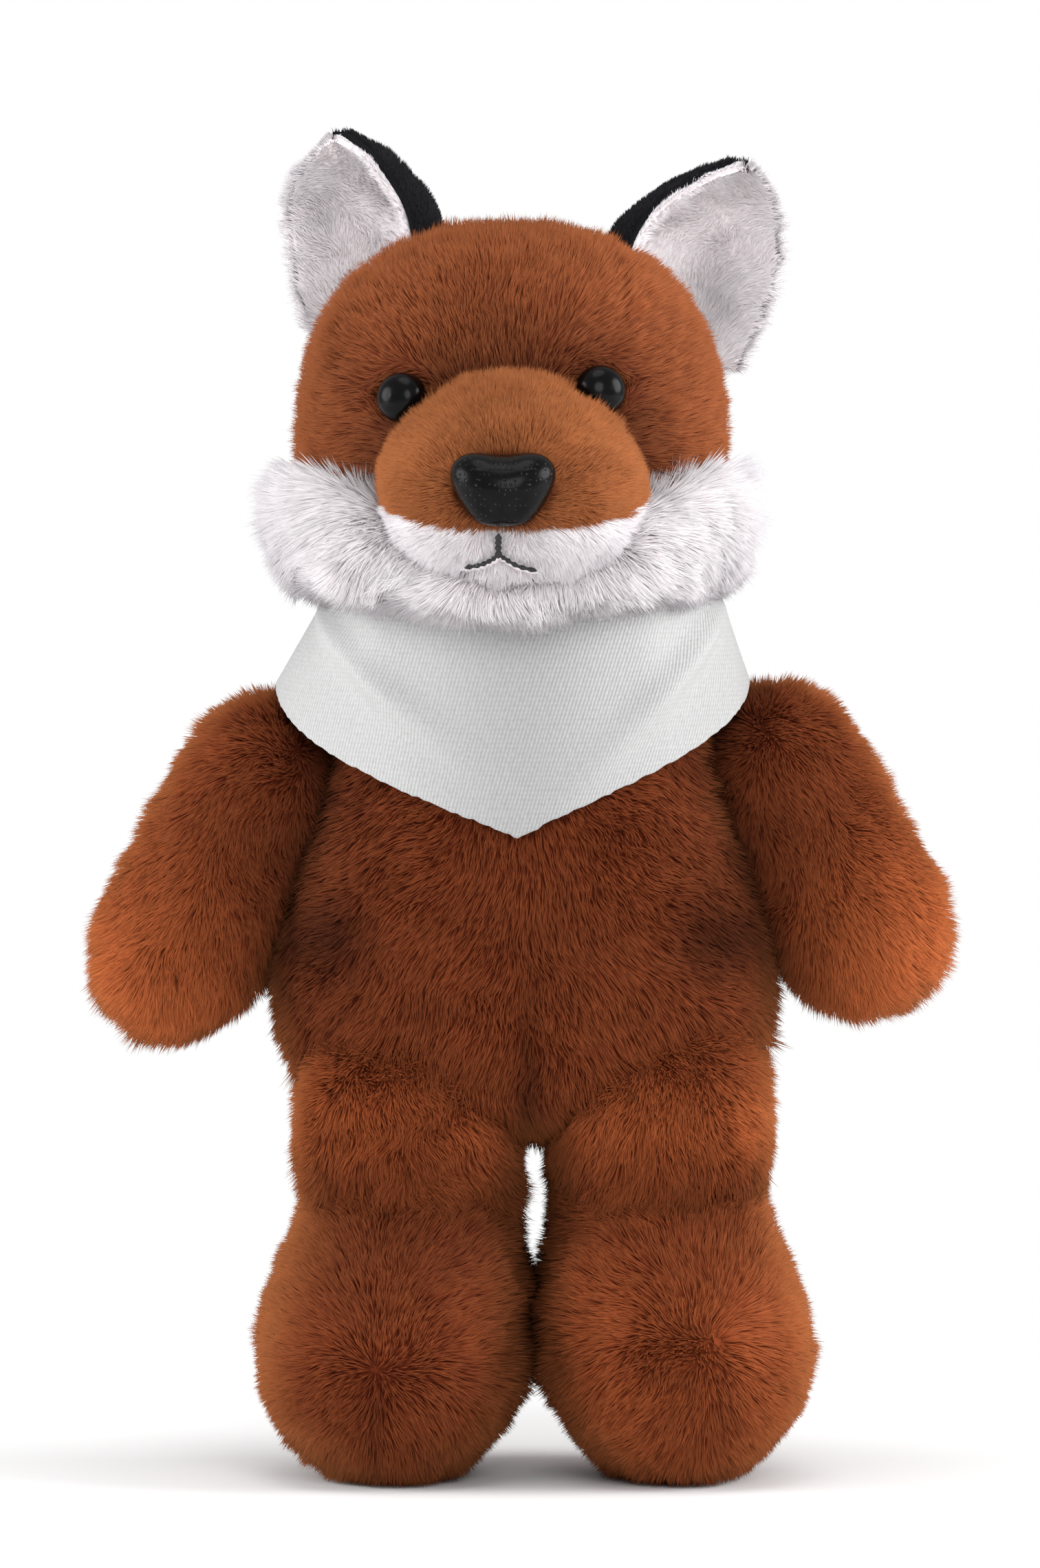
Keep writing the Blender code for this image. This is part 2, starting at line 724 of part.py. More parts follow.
def ruff_form(grow=0.0):
    sections = []
    nothing = Vector((0.0, 0.0, 0.0))
    for step in range(RUFF_STEPS + 1):
        share = 2 * step / RUFF_STEPS - 1
        angle = RUFF_REACH_ANGLE * share
        sideways = math.sin(min(abs(angle), math.pi / 2))
        level = HEAD_BOTTOM + RUFF_CHIN_RISE + (RUFF_SIDE_RISE - RUFF_CHIN_RISE) * sideways
        height = RUFF_CHIN_HEIGHT + (RUFF_SIDE_HEIGHT - RUFF_CHIN_HEIGHT) * sideways
        from_end = min(step, RUFF_STEPS - step)
        end = RUFF_END_SHARES[from_end] if from_end < len(RUFF_END_SHARES) else 1.0
        outward = Vector((math.sin(angle), -math.cos(angle), 0.0))
        middle = Vector((
            RUFF_MID_X + RUFF_PATH_HALF_WIDTH * math.sin(angle),
            TORSO_MID_Y - RUFF_PATH_HALF_DEPTH * math.cos(angle),
            level,
        ))
        if end == 0.0:
            sections.append((middle, nothing, nothing))
        else:
            sections.append((middle, outward * (RUFF_THICK * end / 2), AXIS_Z * (height * end / 2)))
    return loft("ruff_form", sections, RUFF_SEGMENTS, grow)


# Carved solids: the raw form less its neighbours, all moved in by the same inset

def swing_wedge(inset):
    """The room that the legs sweep under the torso, between their two limits."""
    pivot = hip_place("left")
    radius = (HIP_RADIUS + JOINT_GAP + inset) / math.cos(math.pi / HIP_SEGMENTS)
    front = pivot + Vector((0.0, -math.cos(SWING_FORWARD_ANGLE), math.sin(SWING_FORWARD_ANGLE))) * radius
    front_end = front + Vector((0.0, -math.sin(SWING_FORWARD_ANGLE), -math.cos(SWING_FORWARD_ANGLE))) * TORSO_WIDTH
    back = pivot + Vector((0.0, math.cos(SWING_BACK_ANGLE), math.sin(SWING_BACK_ANGLE))) * radius
    back_end = back + Vector((0.0, math.sin(SWING_BACK_ANGLE), -math.cos(SWING_BACK_ANGLE))) * TORSO_WIDTH
    outline = (front, front_end, back_end, back)
    left = [Vector((TORSO_MID_X - TORSO_WIDTH, point.y, point.z)) for point in outline]
    right = [Vector((TORSO_MID_X + TORSO_WIDTH, point.y, point.z)) for point in outline]
    count = len(outline)
    faces = [tuple(range(count)), tuple(range(2 * count - 1, count - 1, -1))]
    faces += [(i, i + count, (i + 1) % count + count, (i + 1) % count) for i in range(count)]
    return mesh_solid("swing_wedge", left + right, faces)


def tail_sweep(inset):
    """The room that the tail's root needs as it wags: a hull round its rings from limit to limit."""
    direction = tail_direction()
    upright = direction.cross(AXIS_X)
    points = []
    for along, width in TAIL_SHARES[:TAIL_SWEEP_ROWS]:
        middle = direction * TAIL_LENGTH * along
        radius = TAIL_WIDTH * width / 2 + TAIL_GAP + inset
        for corner in range(TAIL_SEGMENTS):
            angle = 2 * math.pi * corner / TAIL_SEGMENTS
            point = middle + (AXIS_X * math.cos(angle) + upright * math.sin(angle)) * radius
            for step in range(TAIL_SWEEP_STEPS + 1):
                wag = TAIL_WAG_ANGLE * (2 * step / TAIL_SWEEP_STEPS - 1)
                points.append(tail_place() + Matrix.Rotation(wag, 3, AXIS_Z) @ point)
    return hull("tail_sweep", points)


def torso_solid(inset):
    solid = torso_form(-inset)
    cutters = [swing_wedge(inset)]
    for side in SIDES:
        cutters.append(arm_form(side, JOINT_GAP + inset))
        cutters.append(ball("ball", shoulder_place(side), SHOULDER_RADIUS + JOINT_GAP + inset, AXIS_Y,
                            ARM_SEGMENTS))
        cutters.append(hip_form(side, JOINT_GAP + inset))
    cutters.append(ball("ball", tail_place(), TAIL_ROOT_RADIUS + TAIL_GAP + inset, AXIS_Z,
                        TAIL_SOCKET_SEGMENTS))
    cutters.append(tail_sweep(inset))
    return combine(solid, cutters)


def head_solid(inset):
    return combine(head_form(-inset), [neck_recess(inset)])


def leg_solid(side, inset):
    return combine(hip_form(side, -inset), [shaft_form(side, -inset)], "UNION")


def foot_solid(side, inset):
    sole = half_space("sole", Vector((0.0, 0.0, inset)), -AXIS_Z)
    return combine(foot_form(side, -inset), [sole])


def above(level):
    return half_space("above", Vector((0.0, 0.0, level)), AXIS_Z)


def below(level):
    return half_space("below", Vector((0.0, 0.0, level)), -AXIS_Z)


def mouth(origin, direction, radius, segments):
    """A round opening from the origin outward, where a skin was filled and sewn up."""
    return turned("mouth", ((radius, 0.0), (radius, OVERRUN)), origin, direction, segments)


# Pieces of the torso

def build_torso():
    neck_end = neck_place() - AXIS_Z * MOUTH_DEPTH
    skin = combine(torso_solid(0.0), [torso_solid(SKIN_WALL)])
    combine(skin, [mouth(neck_end, AXIS_Z, NECK_MOUTH_RADIUS, TORSO_SEGMENTS)])
    russet(skin, "torso_skin")
    fibre(torso_solid(SKIN_WALL + SEAM_GAP), "torso_stuffing")


def cloth_neck():
    """Half the width and half the depth of the bandana where it hugs the neck."""
    clear = CLOTH_GAP + CLOTH_THICK
    return TORSO_WIDTH * NECK_WIDTH_SHARE / 2 + clear, TORSO_DEPTH * NECK_DEPTH_SHARE / 2 + clear


def cloth_edge(angle, outward):
    """A point of the cut edge: from the tip out to a corner in front, then along the band to the nape."""
    share = min(abs(angle) / CLOTH_FRONT_ANGLE, 1.0)
    spread = (TORSO_WIDTH / 2 - CLOTH_CORNER_INSET) * math.sin(share * math.pi / 2) ** CLOTH_SPREAD_POWER
    drop = CLOTH_TIP_DROP + (CLOTH_CORNER_DROP - CLOTH_TIP_DROP) * share ** CLOTH_FALL_POWER
    forward = (TORSO_DEPTH / 2 + CLOTH_TIP_LIFT) * math.cos(share * CLOTH_CORNER_ANGLE)
    front = Vector((math.copysign(spread, angle), -forward, -drop))
    past = max(0.0, abs(angle) - CLOTH_FRONT_ANGLE) / (math.pi - CLOTH_FRONT_ANGLE)
    return front.lerp(outward - AXIS_Z * CLOTH_BACK_DROP, min(1.0, past / CLOTH_EASE_SHARE))


def cloth_point(angle, row_share):
    """A point of the bandana: down from its folded top edge to its cut lower edge."""
    half_width, half_depth = cloth_neck()
    outward = Vector((half_width * math.sin(angle), -half_depth * math.cos(angle), 0.0))
    top = outward - AXIS_Z * CLOTH_TOP_DROP
    fold = outward - AXIS_Z * CLOTH_FOLD_DROP
    if row_share <= CLOTH_FOLD_SHARE:
        place = top.lerp(fold, row_share / CLOTH_FOLD_SHARE)
    else:
        place = fold.lerp(cloth_edge(angle, outward), (row_share - CLOTH_FOLD_SHARE) / (1 - CLOTH_FOLD_SHARE))
    return neck_place() + place


def build_bandana():
    reach = math.pi - CLOTH_NAPE_ANGLE
    grid = []
    for row in range(CLOTH_ROWS + 1):
        line = []
        for column in range(CLOTH_COLUMNS + 1):
            angle = reach * (2 * column / CLOTH_COLUMNS - 1)
            line.append(cloth_point(angle, row / CLOTH_ROWS))
        grid.append(line)
    twill(thick_sheet("bandana", grid, CLOTH_THICK), "bandana")
    knot_y = TORSO_MID_Y + cloth_neck()[1] + SEAM_GAP - KNOT_SEAT + KNOT_DEPTH / 2
    sections = []
    for along, size in BALL_SHARES:
        middle = Vector((TORSO_MID_X + (along - 0.5) * KNOT_WIDTH, knot_y, NECK_LEVEL - KNOT_DROP))
        sections.append((middle, AXIS_Y * (KNOT_DEPTH * size / 2), AXIS_Z * (KNOT_HEIGHT * size / 2)))
    twill(loft("knot", sections, KNOT_SEGMENTS), "bandana_knot")


# Pieces of the head

def eye_frame(side):
    face = head_form()
    across, rise = EYE_PLACES[side]
    place, normal = front_hit(face, across, HEAD_BOTTOM + rise)
    remove(face)
    return place, normal


def nose_frame():
    face = muzzle_form()
    place = front_hit(face, NOSE_MID_X, NOSE_BOTTOM + NOSE_HEIGHT / 2)[0]
    remove(face)
    return place, -AXIS_Y


def stem_cutters(place, outward, depth):
    """Room round a stem and its washer, a seam gap larger than they are."""
    length = STEM_LENGTH + SEAM_GAP
    radius = WASHER_RADIUS + SEAM_GAP
    stem = turned("stem", ((STEM_RADIUS + SEAM_GAP, -length), (STEM_RADIUS + SEAM_GAP, OVERRUN)), place,
                  outward, EYE_SEGMENTS)
    seat = turned("seat", ((radius, -depth - WASHER_THICK - SEAM_GAP), (radius, 0.0)), place, outward,
                  EYE_SEGMENTS)
    return stem, seat


def eye_rooms():
    """Room in the muzzle for the two eye domes that it half hides."""
    rooms = []
    radius = EYE_RADIUS + SEAM_GAP
    for side in SIDES:
        place, outward = eye_frame(side)
        rooms.append(turned("room", ((radius, 0.0), (radius, EYE_RISE + 2 * SEAM_GAP)), place, outward,
                            EYE_SEGMENTS))
    return rooms


def washer_depth(sag):
    """How far under the pile a washer lies flat against the curved skin."""
    return SKIN_WALL + sag + SEAM_GAP


def washer(place, outward, depth):
    return turned_ring("washer", STEM_RADIUS + SEAM_GAP, WASHER_RADIUS, -depth - WASHER_THICK, -depth, place,
                       outward, EYE_SEGMENTS)


def build_head(pivot):
    skin = combine(head_solid(0.0), [head_solid(SKIN_WALL)])
    filling = head_solid(SKIN_WALL + SEAM_GAP)
    profile = ((NECK_MOUTH_RADIUS, -SKIN_WALL), (NECK_MOUTH_RADIUS, MOUTH_DEPTH))
    combine(skin, [turned("mouth", profile, neck_place(), AXIS_Z, TORSO_SEGMENTS)])
    depth = washer_depth(EYE_WASHER_SAG)
    for side in SIDES:
        place, outward = eye_frame(side)
        stem, seat = stem_cutters(place, outward, depth)
        combine(filling, [seat, stem])
        through = stem_cutters(place, outward, depth)
        combine(skin, [through[0]])
        remove(through[1])
        washer_plastic(washer(place, outward, depth), "eye_washer_" + side, pivot)
        build_eye(side, place, outward, pivot)
    russet(skin, "head_skin", pivot)
    fibre(filling, "head_stuffing", pivot)


def build_eye(side, place, outward, pivot):
    profile = [(0.0, -STEM_LENGTH), (STEM_RADIUS, -STEM_LENGTH), (STEM_RADIUS, SEAM_GAP)]
    profile += [(EYE_RADIUS * radius, SEAM_GAP + EYE_RISE * rise) for radius, rise in DOME_SHARES]
    black_plastic(turned("eye", profile, place, outward, EYE_SEGMENTS), "eye_" + side, pivot)


def muzzle_seam(gap):
    """The seam between the upper and lower panels of the muzzle: a point and its upward normal."""
    front_y = TORSO_MID_Y + MUZZLE_BACK_Y - MUZZLE_LENGTH
    normal = Vector((0.0, -math.sin(MUZZLE_SEAM_ANGLE), math.cos(MUZZLE_SEAM_ANGLE)))
    return Vector((0.0, front_y, MUZZLE_LEVEL - MUZZLE_SEAM_DROP)) + normal * gap, normal


def build_muzzle(pivot):
    place, outward = nose_frame()
    depth = washer_depth(NOSE_WASHER_SAG)
    for name, sign, colour in (("muzzle_top", 1.0, light_russet), ("muzzle_chin", -1.0, white_pile)):
        middle, normal = muzzle_seam(sign * SEAM_GAP / 2)
        panel = combine(muzzle_form(), [muzzle_form(-SKIN_WALL), head_form(SEAM_GAP)] + eye_rooms())
        combine(panel, [half_space("seam", middle, normal * -sign)])
        stem, seat = stem_cutters(place, outward, depth)
        combine(panel, [stem])
        remove(seat)
        colour(panel, name, pivot)
    filling = combine(muzzle_form(-SKIN_WALL - SEAM_GAP), [head_form(SEAM_GAP)] + eye_rooms())
    stem, seat = stem_cutters(place, outward, depth)
    combine(filling, [stem, seat])
    fibre(filling, "muzzle_stuffing", pivot)
    washer_plastic(washer(place, outward, depth), "nose_washer", pivot)
    build_nose(place, outward, pivot)
    build_mouth(pivot)


def build_nose(place, outward, pivot):
    sections = []
    for rise, width, depth in NOSE_SHARES:
        middle = Vector((NOSE_MID_X, place.y + NOSE_SEAT, NOSE_BOTTOM + NOSE_HEIGHT * rise))
        sections.append((middle, AXIS_X * (NOSE_WIDTH * width / 2), AXIS_Y * (NOSE_DEPTH * depth / 2)))
    nose = combine(loft("nose", sections, NOSE_SEGMENTS), [muzzle_form(SEAM_GAP)])
    stem = turned("stem", ((STEM_RADIUS, -STEM_LENGTH), (STEM_RADIUS, NOSE_DEPTH / 4)), place, outward,
                  EYE_SEGMENTS)
    black_plastic(combine(nose, [stem], "UNION"), "nose", pivot)


def stitch_tube(face, start, end):
    """A thread that follows the muzzle's surface between two places, each across and below its middle."""
    points = []
    for step in range(STITCH_STEPS + 1):
        share = step / STITCH_STEPS
        x = start[0] + (end[0] - start[0]) * share
        drop = start[1] + (end[1] - start[1]) * share
        place, normal = front_hit(face, x, MUZZLE_LEVEL - drop)
        points.append(place + normal * (STITCH_RADIUS + SEAM_GAP))
    sections = []
    for index, point in enumerate(points):
        before = points[max(index - 1, 0)]
        after = points[min(index + 1, STITCH_STEPS)]
        along = (after - before).normalized()
        side = along.cross(AXIS_Y).normalized()
        sections.append((point, side * STITCH_RADIUS, along.cross(side) * STITCH_RADIUS))
    return loft("stitch", sections, STITCH_SIDES)


def build_mouth(pivot):
    face = muzzle_form()
    across, drop = STITCH_FORK
    stitch = stitch_tube(face, (across, STITCH_TOP_DROP), (across, drop + STITCH_RADIUS))
    arms = [stitch_tube(face, STITCH_FORK, end) for end in STITCH_ENDS.values()]
    remove(face)
    black_thread(combine(stitch, arms, "UNION"), "mouth_stitch", pivot)


def build_ruff(pivot):
    cutters = [head_form(SEAM_GAP), muzzle_form(SEAM_GAP), neck_recess()]
    white_pile(combine(ruff_form(), cutters), "cheek_ruff", pivot)


def ear_grid(side, inset, half_angle, least_radius):
    """Rows of a cupped ear: arcs of an oval that open outward and forward."""
    sign = SIDES[side]
    turn = EAR_TURN_ANGLES[side]
    opening = Vector((sign * math.sin(turn), -math.cos(turn), 0.0))
    across = Vector((sign * math.cos(turn), math.sin(turn), 0.0))
    grid = []
    for rise, radius, middle_x in EAR_ROWS[side]:
        if radius < least_radius:
            continue
        line = []
        for column in range(EAR_COLUMNS + 1):
            angle = half_angle * (2 * column / EAR_COLUMNS - 1)
            arm = across * math.sin(angle) - opening * math.cos(angle)
            reach = radius - inset
            line.append(Vector((
                middle_x + reach * arm.x,
                TORSO_MID_Y + EAR_SHIFT_Y + reach * arm.y * EAR_DEPTH_SHARE,
                HEAD_BOTTOM + rise - inset,
            )))
        grid.append(line if sign > 0 else line[::-1])
    return grid


def build_ears(pivot):
    for side in SIDES:
        back = thick_sheet("back", ear_grid(side, 0.0, EAR_HALF_ANGLE, 0.0), EAR_BACK_THICK)
        black_pile(combine(back, [head_form(SEAM_GAP)]), "ear_back_" + side, pivot)
        inset = EAR_BACK_THICK + EAR_LINING_GAP
        grid = ear_grid(side, inset / EAR_DEPTH_SHARE, EAR_LINING_HALF_ANGLE, EAR_LINING_LEAST_RADIUS)
        lining = thick_sheet("lining", grid, EAR_LINING_THICK)
        white_pile(combine(lining, [head_form(SEAM_GAP)]), "ear_lining_" + side, pivot)


# Limbs and tail

def build_arms():
    for side in SIDES:
        pivot = pivot_at("pivot_arm_" + side, shoulder_place(side))
        skin = combine(arm_form(side), [arm_form(side, -SKIN_WALL)])
        root = shoulder_place(side) - arm_direction(side) * (SHOULDER_RADIUS - MOUTH_DEPTH)
        combine(skin, [mouth(root, -arm_direction(side), ARM_MOUTH_RADIUS, ARM_SEGMENTS)])
        russet(skin, "arm_skin_" + side, pivot)
        fibre(arm_form(side, -SKIN_WALL - SEAM_GAP), "arm_stuffing_" + side, pivot)


def build_legs():
    for side in SIDES:
        pivot = pivot_at("pivot_leg_" + side, hip_place(side))
        leg_end = ANKLE_LEVEL + SEAM_GAP / 2
        foot_end = ANKLE_LEVEL - SEAM_GAP / 2
        leg = combine(leg_solid(side, 0.0), [leg_solid(side, SKIN_WALL), below(leg_end)])
        russet(leg, "leg_skin_" + side, pivot)
        filling = combine(leg_solid(side, SKIN_WALL + SEAM_GAP), [below(leg_end)])
        fibre(filling, "leg_stuffing_" + side, pivot)
        foot = combine(foot_solid(side, 0.0), [foot_solid(side, SKIN_WALL), above(foot_end)])
        russet(foot, "foot_skin_" + side, pivot)
        filling = combine(foot_solid(side, SKIN_WALL + SEAM_GAP), [above(foot_end)])
        fibre(filling, "foot_stuffing_" + side, pivot)


def build_tail():
    pivot = pivot_at("pivot_tail", tail_place())
    direction = tail_direction()
    seam = tail_place() + direction * (TAIL_LENGTH * TAIL_TIP_SHARE)
    root = tail_place() - direction * (TAIL_ROOT_RADIUS - MOUTH_DEPTH)
    skin = combine(tail_form(), [tail_form(-SKIN_WALL)])
    combine(skin, [
        mouth(root, -direction, TAIL_MOUTH_RADIUS, TAIL_SEGMENTS),
        half_space("beyond", seam - direction * (SEAM_GAP / 2), direction),
    ])
    russet(skin, "tail_skin", pivot)
    tip = combine(tail_form(), [tail_form(-SKIN_WALL)])
    combine(tip, [half_space("before", seam + direction * (SEAM_GAP / 2), -direction)])
    white_pile(tip, "tail_tip", pivot)
    fibre(tail_form(-SKIN_WALL - SEAM_GAP), "tail_stuffing", pivot)


clear_scene()
build_torso()
build_bandana()
head_pivot = pivot_at("pivot_head", neck_place())
build_head(head_pivot)
build_muzzle(head_pivot)
build_ruff(head_pivot)
build_ears(head_pivot)
build_arms()
build_legs()
build_tail()
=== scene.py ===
import math
import bpy
import numpy as np
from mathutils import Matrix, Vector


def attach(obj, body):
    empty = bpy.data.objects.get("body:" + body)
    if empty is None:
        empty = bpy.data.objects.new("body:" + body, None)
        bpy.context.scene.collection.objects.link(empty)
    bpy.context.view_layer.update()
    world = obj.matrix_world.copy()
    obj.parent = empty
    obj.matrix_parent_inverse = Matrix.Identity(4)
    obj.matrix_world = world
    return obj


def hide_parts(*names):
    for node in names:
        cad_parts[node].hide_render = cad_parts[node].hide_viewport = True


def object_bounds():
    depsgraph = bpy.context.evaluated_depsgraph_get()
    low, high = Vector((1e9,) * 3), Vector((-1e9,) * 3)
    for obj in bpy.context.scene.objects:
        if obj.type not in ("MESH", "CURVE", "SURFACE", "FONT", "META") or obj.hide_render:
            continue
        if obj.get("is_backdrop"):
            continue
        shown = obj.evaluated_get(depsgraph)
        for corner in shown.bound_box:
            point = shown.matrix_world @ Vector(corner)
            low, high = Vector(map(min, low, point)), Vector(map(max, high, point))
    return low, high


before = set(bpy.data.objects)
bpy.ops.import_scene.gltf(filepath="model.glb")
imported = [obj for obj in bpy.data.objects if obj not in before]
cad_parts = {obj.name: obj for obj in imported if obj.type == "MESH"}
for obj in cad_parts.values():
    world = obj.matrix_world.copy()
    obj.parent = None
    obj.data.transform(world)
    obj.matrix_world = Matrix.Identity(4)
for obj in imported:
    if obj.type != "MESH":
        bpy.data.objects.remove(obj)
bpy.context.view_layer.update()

MM = 0.001


# Body. The body is a sewn bag of russet pile fabric over fibre filling, closed by hand at the back.
# Its pile lies down the belly in soft tufts; the limbs are sewn on at creases that the pile hides.
# The functions here draw any such sewn form and its pile, and the pieces below use them too.

def through(rows, steps):
    """Points on the smooth curve through the rows, steps to a row: each span is the cubic whose slope
    at a row is half the difference between the rows on its two sides."""
    rows = np.asarray(rows, float)
    padded = np.vstack([2 * rows[0] - rows[1], rows, 2 * rows[-1] - rows[-2]])
    t = np.linspace(0, 1, steps, endpoint=False)[None, :, None]
    a, b, c, d = (padded[i:len(rows) - 1 + i, None, :] for i in range(4))
    curve = 0.5 * (2 * b + (c - a) * t + (2 * a - 5 * b + 4 * c - d) * t**2 + (3 * b - a - 3 * c + d) * t**3)
    return np.vstack([curve.reshape(-1, rows.shape[1]), rows[-1:]])


def sewn_form(rows, side, depth, around=72, steps=8, inset=0.0):
    """A closed form round a row of ovals: each row is a middle point and two half axes along side and depth.
    The inset draws the ovals in and shortens the row of middles towards its own middle by as much."""
    rows = np.asarray(rows, float).copy()
    middle = (rows[0, :3] + rows[-1, :3]) / 2
    half = np.linalg.norm(rows[-1, :3] - rows[0, :3]) / 2
    rows[:, :3] = middle + (rows[:, :3] - middle) * (1 - inset / half)
    wide = rows[:, 3:].max(axis=0)
    rows[:, 3:] *= 1 - inset / wide
    curve = through(rows, steps)
    curve[:, 3:] = np.maximum(curve[:, 3:], 0.0)
    turn = np.linspace(0, 2 * np.pi, around, endpoint=False)
    rings = (curve[1:-1, None, :3]
             + curve[1:-1, 3, None, None] * np.cos(turn)[None, :, None] * np.asarray(side, float)
             + curve[1:-1, 4, None, None] * np.sin(turn)[None, :, None] * np.asarray(depth, float))
    return closed_tube(curve[:1, :3], rings, curve[-1:, :3])


def closed_tube(start, rings, end):
    """A closed form through rings of points, drawn together to one point at each end."""
    points = np.vstack([start, rings.reshape(-1, 3), end])
    return outward(points, tube_faces(*rings.shape[:2]))


def tube_faces(rings, around):
    """The triangles of a closed tube: a fan from the first point to the first ring, two triangles in each
    cell between neighbouring rings, and a fan from the last ring to the last point."""
    index = 1 + np.arange(rings * around).reshape(rings, around)
    after = np.roll(index, -1, axis=1)
    start = np.stack([np.zeros(around, int), after[0], index[0]], 1)
    end = np.stack([np.full(around, 1 + rings * around), index[-1], after[-1]], 1)
    lower = np.stack([index[:-1], after[:-1], after[1:]], -1).reshape(-1, 3)
    upper = np.stack([index[:-1], after[1:], index[1:]], -1).reshape(-1, 3)
    return np.vstack([start, lower, upper, end])


def outward(points, faces):
    """The faces, turned so that the signed volume they close, a sum of triple products, is positive."""
    a, b, c = points[faces[:, 0]], points[faces[:, 1]], points[faces[:, 2]]
    if np.einsum("ij,ij->i", a, np.cross(b, c)).sum() < 0:
        faces = faces[:, ::-1]
    return points, faces


def corner_normals(points, faces):
    """The unit normal at each point: the sum of its faces' normals, each as long as its face is large."""
    a, b, c = points[faces[:, 0]], points[faces[:, 1]], points[faces[:, 2]]
    flat = np.cross(b - a, c - a)
    total = np.zeros_like(points)
    for corner in range(3):
        np.add.at(total, faces[:, corner], flat)
    return total / np.maximum(np.linalg.norm(total, axis=1, keepdims=True), 1e-12)


def unit(vectors):
    """Each vector divided by its own length."""
    return vectors / np.maximum(np.linalg.norm(vectors, axis=-1, keepdims=True), 1e-9)


def climb(past, span):
    """None where the distance past a start is below zero, one where it is over the span, and straight
    between."""
    return np.clip(past / span, 0, 1)


def bell(off, width):
    """One in the middle, falling off as the exponential of minus the squared distance over the squared
    width."""
    return np.exp(-(off / width) ** 2)


def ripple(points, wavelength, seed):
    """Smooth random vectors: the sum of seven sine waves of about this length, each with its own way and
    phase."""
    rng = np.random.default_rng(seed)
    ways = unit(rng.normal(size=(7, 3))) * 2 * np.pi / wavelength * rng.uniform(0.7, 1.4, (7, 1))
    swing = unit(rng.normal(size=(7, 3)))
    return np.sin(points @ ways.T + rng.uniform(0, 2 * np.pi, 7)) @ swing / np.sqrt(3.5)


def oval_beside(points, rows):
    """The places of a form's rows along the row of middles, and for each point its own place there, its way
    from the middle at that place and the two half axes there."""
    rows = np.asarray(rows, float)
    way = unit(rows[-1, :3] - rows[0, :3])
    along = (rows[:, :3] - rows[0, :3]) @ way
    place = (points - rows[0, :3]) @ way
    oval = np.stack([np.interp(place, along, column) for column in rows.T], 1)
    return along, place, points - oval[:, :3], oval[:, 3:].T


def within(points, rows, side, depth, margin):
    """Whether each point lies inside a sewn form drawn in by the margin: its place along the row of middles
    gives the oval there, and the sum of its two squared shares of the half axes is under one."""
    along, place, across, half = oval_beside(points, rows)
    a, b = np.maximum(half - margin, 1e-5)
    share = (across @ np.asarray(side, float) / a) ** 2 + (across @ np.asarray(depth, float) / b) ** 2
    return (share < 1) & (place > along[0] + margin) & (place < along[-1] - margin)


def near(points, rows, side, depth, reach):
    """How close each point is to a sewn form: one on it or in it, and falling off outside it as the
    exponential of its distance over the reach."""
    along, place, across, half = oval_beside(points, rows)
    a, b = np.maximum(half, 1 * MM)
    share = np.hypot(across @ np.asarray(side, float) / a, across @ np.asarray(depth, float) / b)
    gap = np.maximum((share - 1) * np.minimum(a, b), 0)
    past = np.maximum(np.maximum(along[0] - place, place - along[-1]), 0)
    return np.exp(-np.hypot(gap, past) / reach)


def scatter(form, count, seed, back_share=0.4):
    """Random places on a form, and their normals: each face is picked as often as its size says, less often
    where it looks away from the photograph's side, and each place in it is evenly likely."""
    points, faces = form
    rng = np.random.default_rng(seed)
    normals = corner_normals(points, faces)
    a, b, c = points[faces[:, 0]], points[faces[:, 1]], points[faces[:, 2]]
    flat = np.cross(b - a, c - a)
    size = np.linalg.norm(flat, axis=1)
    facing = 0.5 - 0.5 * flat[:, 1] / np.maximum(size, 1e-15)
    chance = size * (back_share + (1 - back_share) * facing)
    picked = rng.choice(len(faces), size=count, p=chance / chance.sum())
    u, v = rng.random((2, count, 1))
    u, v = np.where(u + v > 1, 1 - u, u), np.where(u + v > 1, 1 - v, v)
    corners = faces[picked]
    w = 1 - u - v
    places = points[corners[:, 0]] * w + points[corners[:, 1]] * u + points[corners[:, 2]] * v
    ways = unit(normals[corners[:, 0]] * w + normals[corners[:, 1]] * u + normals[corners[:, 2]] * v)
    return places, ways


